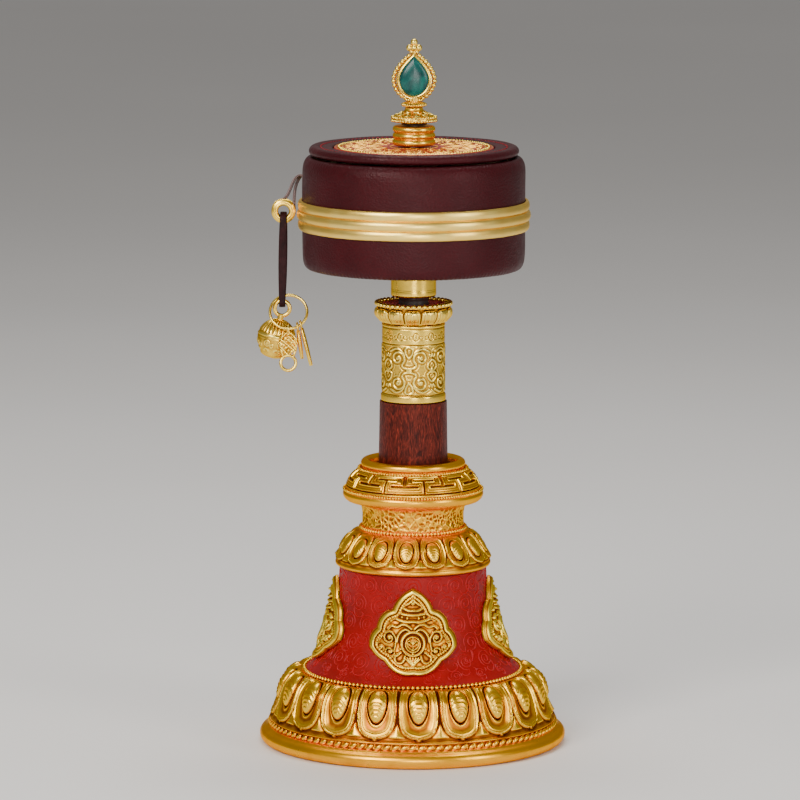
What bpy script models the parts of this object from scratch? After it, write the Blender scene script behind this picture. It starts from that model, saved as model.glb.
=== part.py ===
"""Hand prayer wheel with its resting stand, as separate pieces for Blender 4.5.

The stand is a gilt casting with a red waist and a socket. The wheel stands in the socket by its
wooden grip. A steel spindle runs from the grip up through two ball bearings, and the leather drum
turns on them. A cord, a grommet, a thong and a bell hang at the drum's left side.
Axes: +Z up, -Y front, the spindle on the Z axis, the floor at Z = 0.
Sizes below are in millimetres; the helpers turn them into metres.
"""

from math import cos, exp, pi, radians, sin

import bmesh
import bpy
from mathutils import Matrix, Vector

MM = 0.001
GAP = 0.3                      # clearance between touching pieces
MERGE = 0.00002                # merge distance of the modifiers, in metres

# Driving dimensions: radius or height of each main feature.
FOOT_R = 61.5                  # widest point of the stand's foot
PLINTH_TOP = 29.6              # top of the lower lotus
WAIST_TOP_R = 28.9             # slim end of the red waist
WAIST_TOP = 71.4               # top of the red waist
WAIST_FLARE = 14.4             # how far the waist flares out towards its foot
WAIST_FLARE_Z = 29.5           # height where the flare is that wide
WAIST_FLARE_RUN = 11.5         # height over which the flare fades
WAIST_WALL = 3.0
LOTUS_TOP = 87.0               # top of the upper lotus
SOCKET_FLOOR = 69.0            # the wheel stands at this height inside the neck
SOCKET_R = 15.9
LIP_TOP = 114.8                # top of the socket's rolled lip
GRIP_R = 13.8
GRIP_TOP_R = 13.4
SLEEVE_R = 12.7
SLEEVE_BOTTOM = 138.4
SLEEVE_TOP = 169.5
COLLAR_TOP = 178.6             # brass lotus collar at the head of the handle
SPINDLE_R = 2.2
SPINDLE_TOP = 254.6            # ends inside the finial's dome
FERRULE_R = 9.0
FERRULE_BOTTOM = 180.2
DRUM_R = 44.3
DRUM_BOTTOM = 191.6
DRUM_TOP = 236.2
LID_R = 41.8
LID_TOP = 240.4
BAND_R = 46.6
BAND_BOTTOM = 207.2
BAND_TOP = 218.8
NUT_TOP = 248.4                # ribbed nut on the lid
DOME_R = 9.3
SETTING_LOW, SETTING_WIDEST, SETTING_TOP = 258.5, 266.7, 277.6
SETTING_HALF_WIDTH = 8.75
STONE_LOW, STONE_WIDEST, STONE_TOP = 260.0, 266.5, 275.6
STONE_HALF_WIDTH = 5.85

BEARING_BORE_R = 2.5           # both ball bearings are the same size
BEARING_INNER_R = 3.9
BEARING_OUTER_BORE_R = 6.5
BEARING_OUTER_R = 7.7
BEARING_WIDTH = 5.0
BALL_TRACK_R = 5.2
BALL_R = 1.0
BALL_COUNT = 7
LOWER_BEARING_Z = 182.8
UPPER_BEARING_Z = 226.0

STUD_AZIMUTH = radians(160.0)  # where the tether leaves the drum, behind its left side
STUD_Z = 226.6
TETHER_R = 0.6
GROMMET = Vector((-51.8, 0.0, 214.2))
GROMMET_R = 4.8
GROMMET_HOLE_R = 2.2
THONG_HALF_WIDTH = 1.45
THONG_THICK = 0.9
BELL_LOOP = Vector((-52.4, 0.0, 175.1))
BELL_TILT = radians(11.0)
RING_CENTRE = Vector((-49.8, -3.7, 174.1))
RING_R = 7.4
RING_WIRE_R = 0.6
RING_LEAN = radians(32.0)

# Route of the tether's centre line: out of the stud, down in front of the drum wall, once round
# the grommet's groove and back to the stud.
TETHER_ROUTE = [
    (-44.38, 15.35, 226.6), (-45.8, 15.3, 226.6), (-47.2, 12.7, 226.0), (-48.2, 8.4, 224.7),
    (-49.2, 4.0, 222.6), (-50.5, 0.8, 220.1), (-52.5, 0.0, 218.4), (-54.6, 0.0, 217.3),
    (-55.8, 0.0, 215.3), (-55.8, 0.0, 213.0), (-54.6, 0.0, 211.1), (-52.5, 0.0, 210.1),
    (-50.2, 0.0, 210.35), (-48.45, 0.0, 211.75), (-47.65, 0.0, 213.9), (-47.6, 0.0, 216.4),
    (-47.6, 1.3, 218.8), (-47.5, 4.8, 220.9), (-47.2, 9.3, 222.7), (-46.6, 13.3, 224.3),
    (-45.3, 16.6, 226.2), (-43.86, 16.77, 226.6),
]


def clear_scene():
    for item in list(bpy.data.objects):
        bpy.data.objects.remove(item, do_unlink=True)


def new_collection(name):
    collection = bpy.data.collections.new(name)
    bpy.context.scene.collection.children.link(collection)
    return collection


clear_scene()
PARTS = new_collection("prayer_wheel")
CUTTERS = new_collection("cutters")


# Materials -------------------------------------------------------------------------------------

def material(name, colour, roughness, metallic):
    made = bpy.data.materials.new(name)
    made.use_nodes = True
    shader = made.node_tree.nodes["Principled BSDF"]
    shader.inputs["Base Color"].default_value = (*colour, 1.0)
    shader.inputs["Roughness"].default_value = roughness
    shader.inputs["Metallic"].default_value = metallic
    return made


GILT = material("antique_gilt", (0.80, 0.42, 0.07), 0.32, 1.0)
BRASS = material("brass", (0.86, 0.62, 0.26), 0.28, 1.0)
STEEL = material("steel", (0.55, 0.55, 0.56), 0.3, 1.0)
CRIMSON = material("crimson_lacquer", (0.42, 0.012, 0.022), 0.4, 0.0)
WOOD = material("rosewood", (0.12, 0.035, 0.02), 0.45, 0.0)
LEATHER = material("burgundy_leather", (0.06, 0.014, 0.018), 0.5, 0.0)
PAPER = material("printed_paper", (0.75, 0.62, 0.40), 0.8, 0.0)
FELT = material("felt", (0.05, 0.04, 0.04), 0.95, 0.0)
NYLON = material("dark_nylon", (0.05, 0.03, 0.025), 0.5, 0.0)
STONE = material("turquoise", (0.01, 0.16, 0.15), 0.15, 0.0)
RED_FELT = material("red_felt", (0.45, 0.03, 0.02), 0.9, 0.0)
BRAID = material("braided_cord", (0.05, 0.045, 0.045), 0.7, 0.0)
BOARD = material("lid_board", (0.30, 0.20, 0.12), 0.8, 0.0)


# Shape helpers ---------------------------------------------------------------------------------

def link(item, finish=None):
    """Adds an object to the model with its material, shaded smooth where it is a mesh."""
    PARTS.objects.link(item)
    if finish is not None:
        item.data.materials.append(finish)
    if item.type == "MESH" and item.data.polygons:
        item.data.shade_smooth()
        item.data.set_sharp_from_angle(angle=radians(40.0))
    return item


def turned(name, profile, finish, segments, ring=False, at=(0.0, 0.0, 0.0)):
    """A solid of revolution. The profile runs down the outer side; a ring's profile is closed."""
    mesh = bpy.data.meshes.new(name)
    edges = [(i, i + 1) for i in range(len(profile) - 1)]
    if ring:
        edges.append((len(profile) - 1, 0))
    mesh.from_pydata([(r * MM, 0.0, z * MM) for r, z in profile], edges, [])
    item = link(bpy.data.objects.new(name, mesh), finish)
    item.location = Vector(at) * MM
    screw = item.modifiers.new("turn", "SCREW")
    screw.steps = screw.render_steps = segments
    screw.use_merge_vertices = True
    screw.merge_threshold = MERGE
    return item


def pipe(name, outer, inner, low, high, finish, segments, at=(0.0, 0.0, 0.0)):
    """A plain ring: washers, sleeves, races."""
    profile = [(inner, high), (outer, high), (outer, low), (inner, low)]
    return turned(name, profile, finish, segments, ring=True, at=at)


def rod(name, radius, low, high, finish, segments):
    return turned(name, [(0.0, high), (radius, high), (radius, low), (0.0, low)], finish, segments)


def outline_curve(name, outlines, thickness):
    """A flat plate in the local XY plane; a second outline is a hole through it."""
    curve = bpy.data.curves.new(name, "CURVE")
    curve.dimensions = "2D"
    curve.fill_mode = "BOTH"
    curve.extrude = thickness / 2 * MM
    for points in outlines:
        spline = curve.splines.new("POLY")
        spline.points.add(len(points) - 1)
        for point, (u, v) in zip(spline.points, points):
            point.co = (u * MM, v * MM, 0.0, 1.0)
        spline.use_cyclic_u = True
    return bpy.data.objects.new(name, curve)


def as_mesh(item, name):
    """A curve's evaluated shape as a closed mesh object."""
    CUTTERS.objects.link(item)
    bpy.context.view_layer.update()
    evaluated = item.evaluated_get(bpy.context.evaluated_depsgraph_get())
    mesh = bpy.data.meshes.new_from_object(evaluated)
    shape = bmesh.new()
    shape.from_mesh(mesh)
    bmesh.ops.remove_doubles(shape, verts=shape.verts, dist=MERGE)
    bmesh.ops.recalc_face_normals(shape, faces=shape.faces)
    shape.to_mesh(mesh)
    shape.free()
    made = bpy.data.objects.new(name, mesh)
    made.matrix_world = item.matrix_world
    bpy.data.objects.remove(item, do_unlink=True)
    return made


def plate(name, outlines, thickness, place, finish):
    """A flat plate placed by a matrix in millimetres."""
    item = outline_curve(name + "_outline", outlines, thickness)
    item.matrix_world = in_metres(place)
    made = as_mesh(item, name)
    return link(made, finish)


def in_metres(place):
    scaled = place.copy()
    scaled.translation = scaled.translation * MM
    return scaled


def upright(at, turn_z=0.0, tilt_y=0.0, lean_x=0.0):
    """Places a flat outline upright: its own Y axis becomes +Z and its front faces -Y."""
    turn = Matrix.Rotation(turn_z, 4, "Z") @ Matrix.Rotation(tilt_y, 4, "Y")
    return Matrix.Translation(at) @ turn @ Matrix.Rotation(radians(90.0) + lean_x, 4, "X")


def cutter(item):
    """Keeps a shape out of the model and shows it as a wire."""
    for collection in list(item.users_collection):
        collection.objects.unlink(item)
    CUTTERS.objects.link(item)
    item.hide_render = True
    item.display_type = "WIRE"
    return item


def combine(item, other, operation):
    """Cuts or joins another mesh object, which becomes a hidden guide."""
    boolean = item.modifiers.new(operation.lower(), "BOOLEAN")
    boolean.operation = operation
    boolean.object = cutter(other)
    return item


def ball_mesh(name, centres, radius, u=8, v=6, twist=0.0):
    """Small spheres in one mesh, each turned by the twist so that joined ones share no edge plane."""
    shape = bmesh.new()
    for centre in centres:
        place = Matrix.Translation(Vector(centre) * MM) @ Matrix.Rotation(twist, 4, (0.6, 0.64, 0.48))
        bmesh.ops.create_uvsphere(shape, u_segments=u, v_segments=v, radius=radius * MM, matrix=place)
    mesh = bpy.data.meshes.new(name)
    shape.to_mesh(mesh)
    shape.free()
    return bpy.data.objects.new(name, mesh)


def torus(name, centre, major, minor, turn, around, across, finish):
    """A wire ring whose own axis, +Z, is turned by a rotation matrix."""
    bpy.ops.mesh.primitive_torus_add(
        major_radius=major * MM, minor_radius=minor * MM, major_segments=around, minor_segments=across
    )
    item = bpy.context.active_object
    for collection in list(item.users_collection):
        collection.objects.unlink(item)
    item.name = name
    item.data.name = name
    item.matrix_world = in_metres(Matrix.Translation(centre) @ turn)
    return link(item, finish)


def catmull(points, per_span):
    """Points of a smooth curve through the given ones."""
    ends = [points[0]] + points + [points[-1]]
    found = []
    for i in range(1, len(ends) - 2):
        a, b, c, d = (Vector(p) for p in ends[i - 1:i + 3])
        for k in range(per_span):
            t = k / per_span
            found.append(0.5 * ((2 * b) + (c - a) * t + (2 * a - 5 * b + 4 * c - d) * t * t
                                + (3 * b - a - 3 * c + d) * t ** 3))
    found.append(Vector(points[-1]))
    return found


def arc(centre, radius, start, end, steps):
    """Points of an arc in degrees, both ends included."""
    angles = [radians(start + (end - start) * i / steps) for i in range(steps + 1)]
    return [(centre[0] + radius * cos(a), centre[1] + radius * sin(a)) for a in angles]


def teardrop(half_width, low, widest, top, steps=7):
    """A drop in (x, z): half an ellipse below its widest level and a pointed arch above it."""
    right = []
    for i in range(steps + 1):
        angle = pi / 2 * i / steps
        right.append((half_width * sin(angle), widest - (widest - low) * cos(angle)))
    for i in range(1, steps):
        rise = i / steps
        right.append((half_width * (1 - rise ** 1.8), widest + (top - widest) * rise))
    left = [(-x, z) for x, z in reversed(right[1:])]
    return right + [(0.0, top)] + left


# Stand -----------------------------------------------------------------------------------------

def waist_r(z):
    """Outer radius of the red waist: a straight neck that flares out towards the foot."""
    return WAIST_TOP_R + WAIST_FLARE * exp(-(z - WAIST_FLARE_Z) / WAIST_FLARE_RUN)


def stand_plinth():
    outside = [
        (41.9, PLINTH_TOP - 1.4), (43.3, PLINTH_TOP + 0.2), (47.1, 29.8), (52.0, 24.5), (54.2, 19.3),
        (56.8, 12.5), (58.4, 8.0), (58.5, 6.3), (FOOT_R, 3.9), (FOOT_R, 2.4), (59.6, 0.6),
    ]
    inside = [
        (56.0, 0.6), (56.0, 5.0), (49.0, 10.5), (3.6, 10.5), (3.6, 13.5), (46.0, 13.5),
        (37.5, 25.4), (37.5, PLINTH_TOP - 1.4),
    ]
    return turned("stand_plinth", outside + inside, GILT, 36, ring=True)


def waist_shell():
    levels = [WAIST_TOP, 58.0, 48.0, 40.5, 35.5, 32.2, 30.4]
    outside = [(waist_r(z), z) for z in levels]
    foot = waist_r(30.4) - 0.9
    outside += [(foot, PLINTH_TOP - 1.4 + GAP)]
    inside = [(foot - 2.4, PLINTH_TOP - 1.4 + GAP)]
    inside += [(waist_r(z + 1.2) - WAIST_WALL, z) for z in (34.0, 42.0, 54.0)]
    inside += [(WAIST_TOP_R - WAIST_WALL, WAIST_TOP)]
    return turned("waist_shell", outside + inside, CRIMSON, 36, ring=True)


def lotus_casting():
    """Upper lotus. Its skirt sits on the waist and its crown carries the neck."""
    low = WAIST_TOP + GAP
    profile = [
        (18.6, LOTUS_TOP), (21.3, LOTUS_TOP), (22.1, 85.4), (25.7, 82.5), (28.1, 79.3), (31.3, 75.3),
        (30.9, 73.0), (30.1, low), (24.0, low), (18.6, low + 3.0),
    ]
    return turned("lotus_casting", profile, GILT, 32, ring=True)


def neck_cup():
    """Hammered neck, fret collar and rolled lip in one cup that holds the wheel's grip."""
    bore = [(0.0, SOCKET_FLOOR), (SOCKET_R, SOCKET_FLOOR), (SOCKET_R, 105.0), (17.4, 112.5)]
    lip = [(18.1, 114.3), (19.1, LIP_TOP), (20.4, 113.9), (20.2, 111.2)]
    outside = [(25.7, 107.0), (28.1, 100.9), (26.7, 98.1), (20.7, 95.6), (20.1, 91.0), (20.5, LOTUS_TOP + GAP)]
    spigot = [(18.3, LOTUS_TOP + GAP), (18.3, 66.0), (6.0, 66.0), (5.0, 60.0)]
    rod_hole = [(3.3, 60.0), (3.3, 65.0), (0.0, 65.0)]
    return turned("neck_cup", bore + lip + outside + spigot + rod_hole, GILT, 32)


def socket_liner():
    """Felt cup that the grip stands in."""
    low = SOCKET_FLOOR + GAP
    profile = [(0.0, low + 1.0), (14.1, low + 1.0), (14.1, 90.0), (15.6, 90.0), (15.6, low), (0.0, low)]
    return turned("socket_liner", profile, FELT, 20)


MEDALLION_HALF_OUTLINE = [        # (x, z, bulge of the arc that follows)
    (0.0, 67.2, 0.22), (8.0, 58.8, 0.34), (14.3, 51.2, 0.26), (17.4, 43.9, 0.20),
    (11.6, 38.7, 0.30), (0.0, 34.0, 0.0),
]
MEDALLION_ARC_STEPS = 3
MEDALLION_RIM = 1.5
MEDALLION_CROWN = 5.2


def medallion_outline():
    """The cartouche's edge: five lobes each side, as arcs between the notches."""
    right = []
    for (x0, z0, bulge), (x1, z1, _) in zip(MEDALLION_HALF_OUTLINE, MEDALLION_HALF_OUTLINE[1:]):
        for i in range(MEDALLION_ARC_STEPS):
            t = i / MEDALLION_ARC_STEPS
            push = 4 * bulge * t * (1 - t) * 0.5
            right.append((x0 + (x1 - x0) * t + (z0 - z1) * push, z0 + (z1 - z0) * t + (x1 - x0) * push))
    right.append((0.0, MEDALLION_HALF_OUTLINE[-1][1]))
    left = [(-x, z) for x, z in reversed(right[1:-1])]
    return right + left


def medallion(name, azimuth):
    """A domed plate that follows the waist: rings from its edge to its crown, front and back."""
    edge = medallion_outline()
    centre_z = 46.5
    hollow = 0.5                  # the back is dished, so that its flat facets clear the waist
    shape = bmesh.new()

    def ring_at(share, thick):
        made = []
        for x, z in edge:
            u, w = x * share, centre_z + (z - centre_z) * share
            radius = waist_r(w) + GAP + thick
            made.append(shape.verts.new((u * MM, -((radius * radius - u * u) ** 0.5) * MM, w * MM)))
        return made

    def apex(thick):
        return shape.verts.new((0.0, -(waist_r(centre_z) + GAP + thick) * MM, centre_z * MM))

    front = [ring_at(1.0, MEDALLION_RIM), ring_at(0.72, 3.4), ring_at(0.36, MEDALLION_CROWN - 0.3)]
    back = [ring_at(1.0, 0.1), ring_at(0.5, hollow)]
    count = len(edge)
    for rings in (front, list(reversed(back)) + [front[0]]):
        for outer, inner in zip(rings, rings[1:]):
            for i in range(count):
                j = (i + 1) % count
                shape.faces.new((outer[i], outer[j], inner[j], inner[i]))
    for ring_verts, tip in ((front[-1], apex(MEDALLION_CROWN)), (back[-1], apex(hollow))):
        for i in range(count):
            shape.faces.new((ring_verts[i], ring_verts[(i + 1) % count], tip))
    bmesh.ops.recalc_face_normals(shape, faces=shape.faces)
    mesh = bpy.data.meshes.new(name)
    shape.to_mesh(mesh)
    shape.free()
    item = link(bpy.data.objects.new(name, mesh), GILT)
    item.rotation_euler = (0.0, 0.0, azimuth)
    return item


def stand_fastening():
    """Tie rod from the neck down through the plinth's web, its washer and nut, and the base covers."""
    rod("tie_rod", 3.0, 4.6, 64.7, STEEL, 12)
    pipe("rod_washer", 9.0, 3.3, 9.4, 10.2, STEEL, 18)
    nut = turned("rod_nut", [(3.9, 9.1), (6.4, 9.1), (6.4, 5.2), (3.9, 5.2)], STEEL, 6, ring=True)
    nut.rotation_euler = (0.0, 0.0, radians(30.0))
    turned("bottom_plate", [(0.0, 4.2), (55.6, 4.2), (55.6, 2.2), (0.0, 2.2)], NYLON, 32)
    turned("felt_pad", [(0.0, 1.9), (55.4, 1.9), (55.4, 0.0), (0.0, 0.0)], FELT, 32)


def build_stand():
    stand_plinth()
    waist_shell()
    lotus_casting()
    neck_cup()
    socket_liner()
    for name, degrees in (("front", 0.0), ("right", 90.0), ("back", 180.0), ("left", 270.0)):
        medallion("medallion_" + name, radians(degrees))
    stand_fastening()


# Handle ----------------------------------------------------------------------------------------

def grip():
    shoulder = SLEEVE_BOTTOM - GAP
    profile = [
        (0.0, 92.0), (SPINDLE_R + GAP, 92.0), (SPINDLE_R + GAP, SLEEVE_TOP - GAP),
        (SLEEVE_R - 1.0, SLEEVE_TOP - GAP), (SLEEVE_R - 1.0, shoulder), (GRIP_TOP_R - 0.4, shoulder),
        (GRIP_TOP_R, shoulder - 0.6), (GRIP_R, 113.0), (GRIP_R - 0.1, 77.3), (12.4, 77.3), (12.4, 72.2),
        (0.0, 72.2),
    ]
    return turned("grip", profile, WOOD, 24)


def pommel_cap():
    low = SOCKET_FLOOR + GAP + 1.0 + GAP
    profile = [(0.0, 71.8), (12.8, 71.8), (12.8, 77.0), (13.7, 77.0), (13.7, low + 0.8), (12.9, low), (0.0, low)]
    return turned("pommel_cap", profile, BRASS, 20)


def grip_sleeve():
    """Engraved tube with a plain band at its foot."""
    inner = SLEEVE_R - 0.7
    profile = [
        (inner, SLEEVE_TOP), (SLEEVE_R, SLEEVE_TOP), (SLEEVE_R, 141.2), (SLEEVE_R + 0.3, 140.8),
        (SLEEVE_R + 0.3, SLEEVE_BOTTOM), (inner, SLEEVE_BOTTOM),
    ]
    return turned("grip_sleeve", profile, BRASS, 24, ring=True)


def lotus_collar():
    """Cast collar: lotus petals, a bead rim and a shallow dish round the spindle."""
    low = SLEEVE_TOP + GAP
    bore = SPINDLE_R + GAP
    profile = [
        (bore, 175.9), (13.9, 175.9), (14.0, COLLAR_TOP - 0.5), (14.8, COLLAR_TOP), (15.4, 177.3), (14.1, 175.4),
        (15.0, 173.8), (12.7, low), (bore, low),
    ]
    return turned("lotus_collar", profile, BRASS, 26, ring=True)


def bearing(prefix, low):
    high = low + BEARING_WIDTH
    pipe(prefix + "_bearing_inner", BEARING_INNER_R, BEARING_BORE_R, low, high, STEEL, 14)
    pipe(prefix + "_bearing_outer", BEARING_OUTER_R, BEARING_OUTER_BORE_R, low, high, STEEL, 16)
    middle = (low + high) / 2
    cage = pipe(prefix + "_balls", 5.5, 4.9, middle - 0.5, middle + 0.5, STEEL, 14)
    track = [
        (BALL_TRACK_R * cos(2 * pi * i / BALL_COUNT), BALL_TRACK_R * sin(2 * pi * i / BALL_COUNT), middle)
        for i in range(BALL_COUNT)
    ]
    combine(cage, ball_mesh(prefix + "_ball_set", track, BALL_R, 6, 4), "UNION")


def spindle():
    """Steel rod from the grip to the finial."""
    return rod("spindle", SPINDLE_R, 92.0 + GAP, SPINDLE_TOP, STEEL, 12)


def build_handle():
    grip()
    pommel_cap()
    grip_sleeve()
    lotus_collar()
    pipe("collar_pad", 13.5, 6.4, 176.2, 177.1, RED_FELT, 24)
    pipe("thrust_bush", 6.0, SPINDLE_R + GAP, 176.2, FERRULE_BOTTOM - GAP, NYLON, 18)
    spindle()


# Drum ------------------------------------------------------------------------------------------

def drum_ferrule():
    """Brass tube under the drum. It holds the lower bearing, and its flange carries the drum."""
    bearing_seat = LOWER_BEARING_Z - GAP
    profile = [
        (8.0, 196.0), (12.6, 196.0), (12.6, 194.6), (FERRULE_R, 194.6), (FERRULE_R, FERRULE_BOTTOM + 0.4),
        (FERRULE_R - 0.4, FERRULE_BOTTOM), (SPINDLE_R + GAP, FERRULE_BOTTOM), (SPINDLE_R + GAP, bearing_seat),
        (8.0, bearing_seat),
    ]
    return turned("drum_ferrule", profile, BRASS, 20, ring=True)


def drum_cup():
    """Rigid cup under the leather."""
    profile = [
        (40.4, DRUM_TOP - 0.6), (42.0, DRUM_TOP - 0.6), (42.0, 192.8), (FERRULE_R + GAP, 192.8),
        (FERRULE_R + GAP, 194.3), (40.4, 194.3),
    ]
    return turned("drum_cup", profile, BOARD, 32, ring=True)


def leather_wrap():
    profile = [
        (42.3, DRUM_TOP - 0.2), (42.9, DRUM_TOP), (43.9, DRUM_TOP - 1.2), (DRUM_R, DRUM_TOP - 3.4),
        (DRUM_R, DRUM_BOTTOM + 2.6), (43.5, DRUM_BOTTOM + 0.8), (41.7, DRUM_BOTTOM),
        (FERRULE_R + GAP, DRUM_BOTTOM), (FERRULE_R + GAP, DRUM_BOTTOM + 0.9), (42.3, DRUM_BOTTOM + 0.9),
    ]
    return turned("leather_wrap", profile, LEATHER, 36, ring=True)


def drum_band():
    """Brass hoop with three rounded ribs, the middle one the proudest."""
    inner = DRUM_R + GAP
    rib = (BAND_TOP - BAND_BOTTOM) / 3
    outside = []
    for i, crest in enumerate((BAND_R - 0.5, BAND_R, BAND_R - 0.5)):
        high = BAND_TOP - i * rib
        outside += [(crest - 0.7, high - 0.15), (crest, high - rib * 0.5), (crest - 0.7, high - rib + 0.15)]
    profile = [(inner, BAND_TOP)] + outside + [(inner, BAND_BOTTOM)]
    return turned("drum_band", profile, BRASS, 40, ring=True)


def tether_stud():
    """Domed brass eyelet that the tether comes out of."""
    profile = [(0.0, 1.5), (1.5, 1.5), (2.3, 0.9), (2.5, 0.0), (0.0, 0.0)]
    stud = turned("tether_stud", profile, BRASS, 14)
    outward = Vector((cos(STUD_AZIMUTH), sin(STUD_AZIMUTH), 0.0))
    place = Matrix.Translation(outward * (DRUM_R + GAP + 0.1) + Vector((0.0, 0.0, STUD_Z)))
    stud.matrix_world = in_metres(place @ outward.to_track_quat("Z", "Y").to_matrix().to_4x4())
    return stud


def build_drum():
    drum_ferrule()
    pipe("core_tube", 9.4, 8.0, 196.3, 233.0, BOARD, 20)
    pipe("mantra_roll", 39.4, 9.7, 197.0, 232.0, PAPER, 30)
    drum_cup()
    leather_wrap()
    drum_band()
    tether_stud()
    bearing("lower", LOWER_BEARING_Z)
    bearing("upper", UPPER_BEARING_Z)


# Lid and finial --------------------------------------------------------------------------------

def build_lid():
    bore = SPINDLE_R + 0.8
    pipe("lid_board", 39.6, bore, 236.8, 238.6, BOARD, 28)
    leather = [
        (32.2, 239.8), (37.4, 239.9), (39.6, LID_TOP), (41.3, 239.8), (LID_R, 238.5), (41.3, 237.2),
        (39.9, 236.6), (39.9, 238.9), (32.2, 238.9),
    ]
    turned("lid_leather", leather, LEATHER, 32, ring=True)
    pipe("lid_disc", 31.9, bore, 238.9, 240.2, BRASS, 28)
    turned("lid_nut", nut_profile(), BRASS, 20, ring=True)


def nut_profile():
    """Three rounded ribs on a plain bore."""
    low, high, bore = 240.6, NUT_TOP, SPINDLE_R + 0.8
    rib = (high - low) / 3
    outside = []
    for i in range(3):
        top = high - i * rib
        outside += [(7.7, top - 0.1), (8.5, top - rib * 0.5), (7.7, top - rib + 0.1)]
    return [(bore, high)] + outside + [(bore, low)]


def build_finial():
    bore = SPINDLE_R + GAP
    pipe("finial_washer", 5.2, bore, NUT_TOP + GAP, 249.5, NYLON, 16)
    dome = [
        (0.0, 255.6), (4.0, 255.6), (5.0, 254.1), (7.7, 252.2), (DOME_R, 250.6), (8.7, 249.9),
        (bore, 249.9), (bore, SPINDLE_TOP + GAP), (0.0, SPINDLE_TOP + GAP),
    ]
    turned("finial_dome", dome, BRASS, 20)
    turned("finial_collar", [(0.0, 257.9), (4.4, 257.9), (5.05, 256.9), (4.4, 255.9), (0.0, 255.9)], BRASS, 16)
    setting = plate(
        "jewel_setting",
        [teardrop(SETTING_HALF_WIDTH, SETTING_LOW, SETTING_WIDEST, SETTING_TOP)],
        5.0, upright((0.0, 0.0, 0.0)), BRASS,
    )
    for side in (-1.0, 1.0):
        pocket = outline_curve(
            "pocket", [teardrop(STONE_HALF_WIDTH + GAP, STONE_LOW - GAP, STONE_WIDEST, STONE_TOP + GAP)], 4.0)
        pocket.matrix_world = in_metres(upright((0.0, side * 2.7, 0.0)))
        combine(setting, as_mesh(pocket, "stone_pocket"), "DIFFERENCE")
    cabochon("stone_front", -1.0)
    cabochon("stone_back", 1.0)
    crown_beads()


def cabochon(name, side):
    """A teardrop stone with a flat back and a domed face; side -1 faces the front."""
    edge = teardrop(STONE_HALF_WIDTH, STONE_LOW, STONE_WIDEST, STONE_TOP, 5)
    floor, girdle = 1.0, 2.3
    levels = [(1.0, floor), (1.0, girdle), (0.78, girdle + 1.0), (0.42, girdle + 1.7)]
    shape = bmesh.new()

    def ring_at(share, depth):
        middle = STONE_WIDEST
        return [shape.verts.new((x * share * MM, side * depth * MM, (middle + (z - middle) * share) * MM))
                for x, z in edge]

    rings = [ring_at(share, depth) for share, depth in levels]
    count = len(edge)
    for outer, inner in zip(rings, rings[1:]):
        for i in range(count):
            j = (i + 1) % count
            shape.faces.new((outer[i], outer[j], inner[j], inner[i]))
    for ring_verts, depth in ((rings[0], floor), (rings[-1], girdle + 2.0)):
        tip = shape.verts.new((0.0, side * depth * MM, STONE_WIDEST * MM))
        for i in range(count):
            shape.faces.new((ring_verts[i], ring_verts[(i + 1) % count], tip))
    bmesh.ops.recalc_face_normals(shape, faces=shape.faces)
    mesh = bpy.data.meshes.new(name)
    shape.to_mesh(mesh)
    shape.free()
    return link(bpy.data.objects.new(name, mesh), STONE)


def crown_beads():
    """Three beads in a row with one on top, fused together above the setting."""
    crown = link(ball_mesh("crown_beads", [(0.0, 0.0, 281.4)], 1.7), BRASS)
    row = [(-2.2, 0.0, 279.6), (0.0, 0.0, 279.5), (2.2, 0.0, 279.6)]
    for i, centre in enumerate(row):
        combine(crown, ball_mesh("crown_bead", [centre], 1.5, twist=0.4 + 0.5 * i), "UNION")
    return crown


# Tether, thong and charms ----------------------------------------------------------------------

def tether_cord():
    curve = bpy.data.curves.new("tether_cord", "CURVE")
    curve.dimensions = "3D"
    curve.bevel_depth = TETHER_R * MM
    curve.bevel_resolution = 2
    curve.use_fill_caps = True
    points = catmull(TETHER_ROUTE, 2)
    spline = curve.splines.new("POLY")
    spline.points.add(len(points) - 1)
    for point, place in zip(spline.points, points):
        point.co = (*(place * MM), 1.0)
    return link(bpy.data.objects.new("tether_cord", curve), BRAID)


def grommet():
    """Brass eyelet on its side, with a groove round it for the tether."""
    profile = [
        (GROMMET_HOLE_R, 1.1), (GROMMET_HOLE_R + 0.8, 2.0), (4.2, 2.0), (GROMMET_R, 1.4), (GROMMET_R, 0.95),
        (3.25, 0.95), (3.25, -0.95), (GROMMET_R, -0.95), (GROMMET_R, -1.4), (4.2, -2.0),
        (GROMMET_HOLE_R + 0.8, -2.0), (GROMMET_HOLE_R, -1.1),
    ]
    item = turned("grommet", profile, BRASS, 22, ring=True)
    item.matrix_world = in_metres(Matrix.Translation(GROMMET) @ Matrix.Rotation(radians(90.0), 4, "X"))
    return item


def thong():
    """Leather strap folded double: over the grommet's lower edge and under the bell's loop."""
    top_r, low_r = 2.4, 1.6
    top_c, low_c = GROMMET.z - 3.6, BELL_LOOP.z + 2.9

    def loop(grow):
        top, low = top_r + grow, low_r + grow
        right = arc((0.0, top_c), top, 180.0, 0.0, 7)
        right += [(top, top_c - 2.6), (low, top_c - 11.0)]
        left = arc((0.0, low_c), low, 0.0, -180.0, 7)
        return right + left + [(-low, top_c - 11.0), (-top, top_c - 2.6)]

    lean = Matrix.Rotation((GROMMET.x - BELL_LOOP.x) / (GROMMET.z - BELL_LOOP.z), 4, "Y")
    place = Matrix.Translation(GROMMET) @ lean @ Matrix.Translation((0.0, 0.0, -GROMMET.z))
    side_on = Matrix.Rotation(radians(90.0), 4, "Z") @ Matrix.Rotation(radians(90.0), 4, "X")
    return plate("thong", [loop(THONG_THICK), loop(0.0)], THONG_HALF_WIDTH * 2, place @ side_on, LEATHER)


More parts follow.
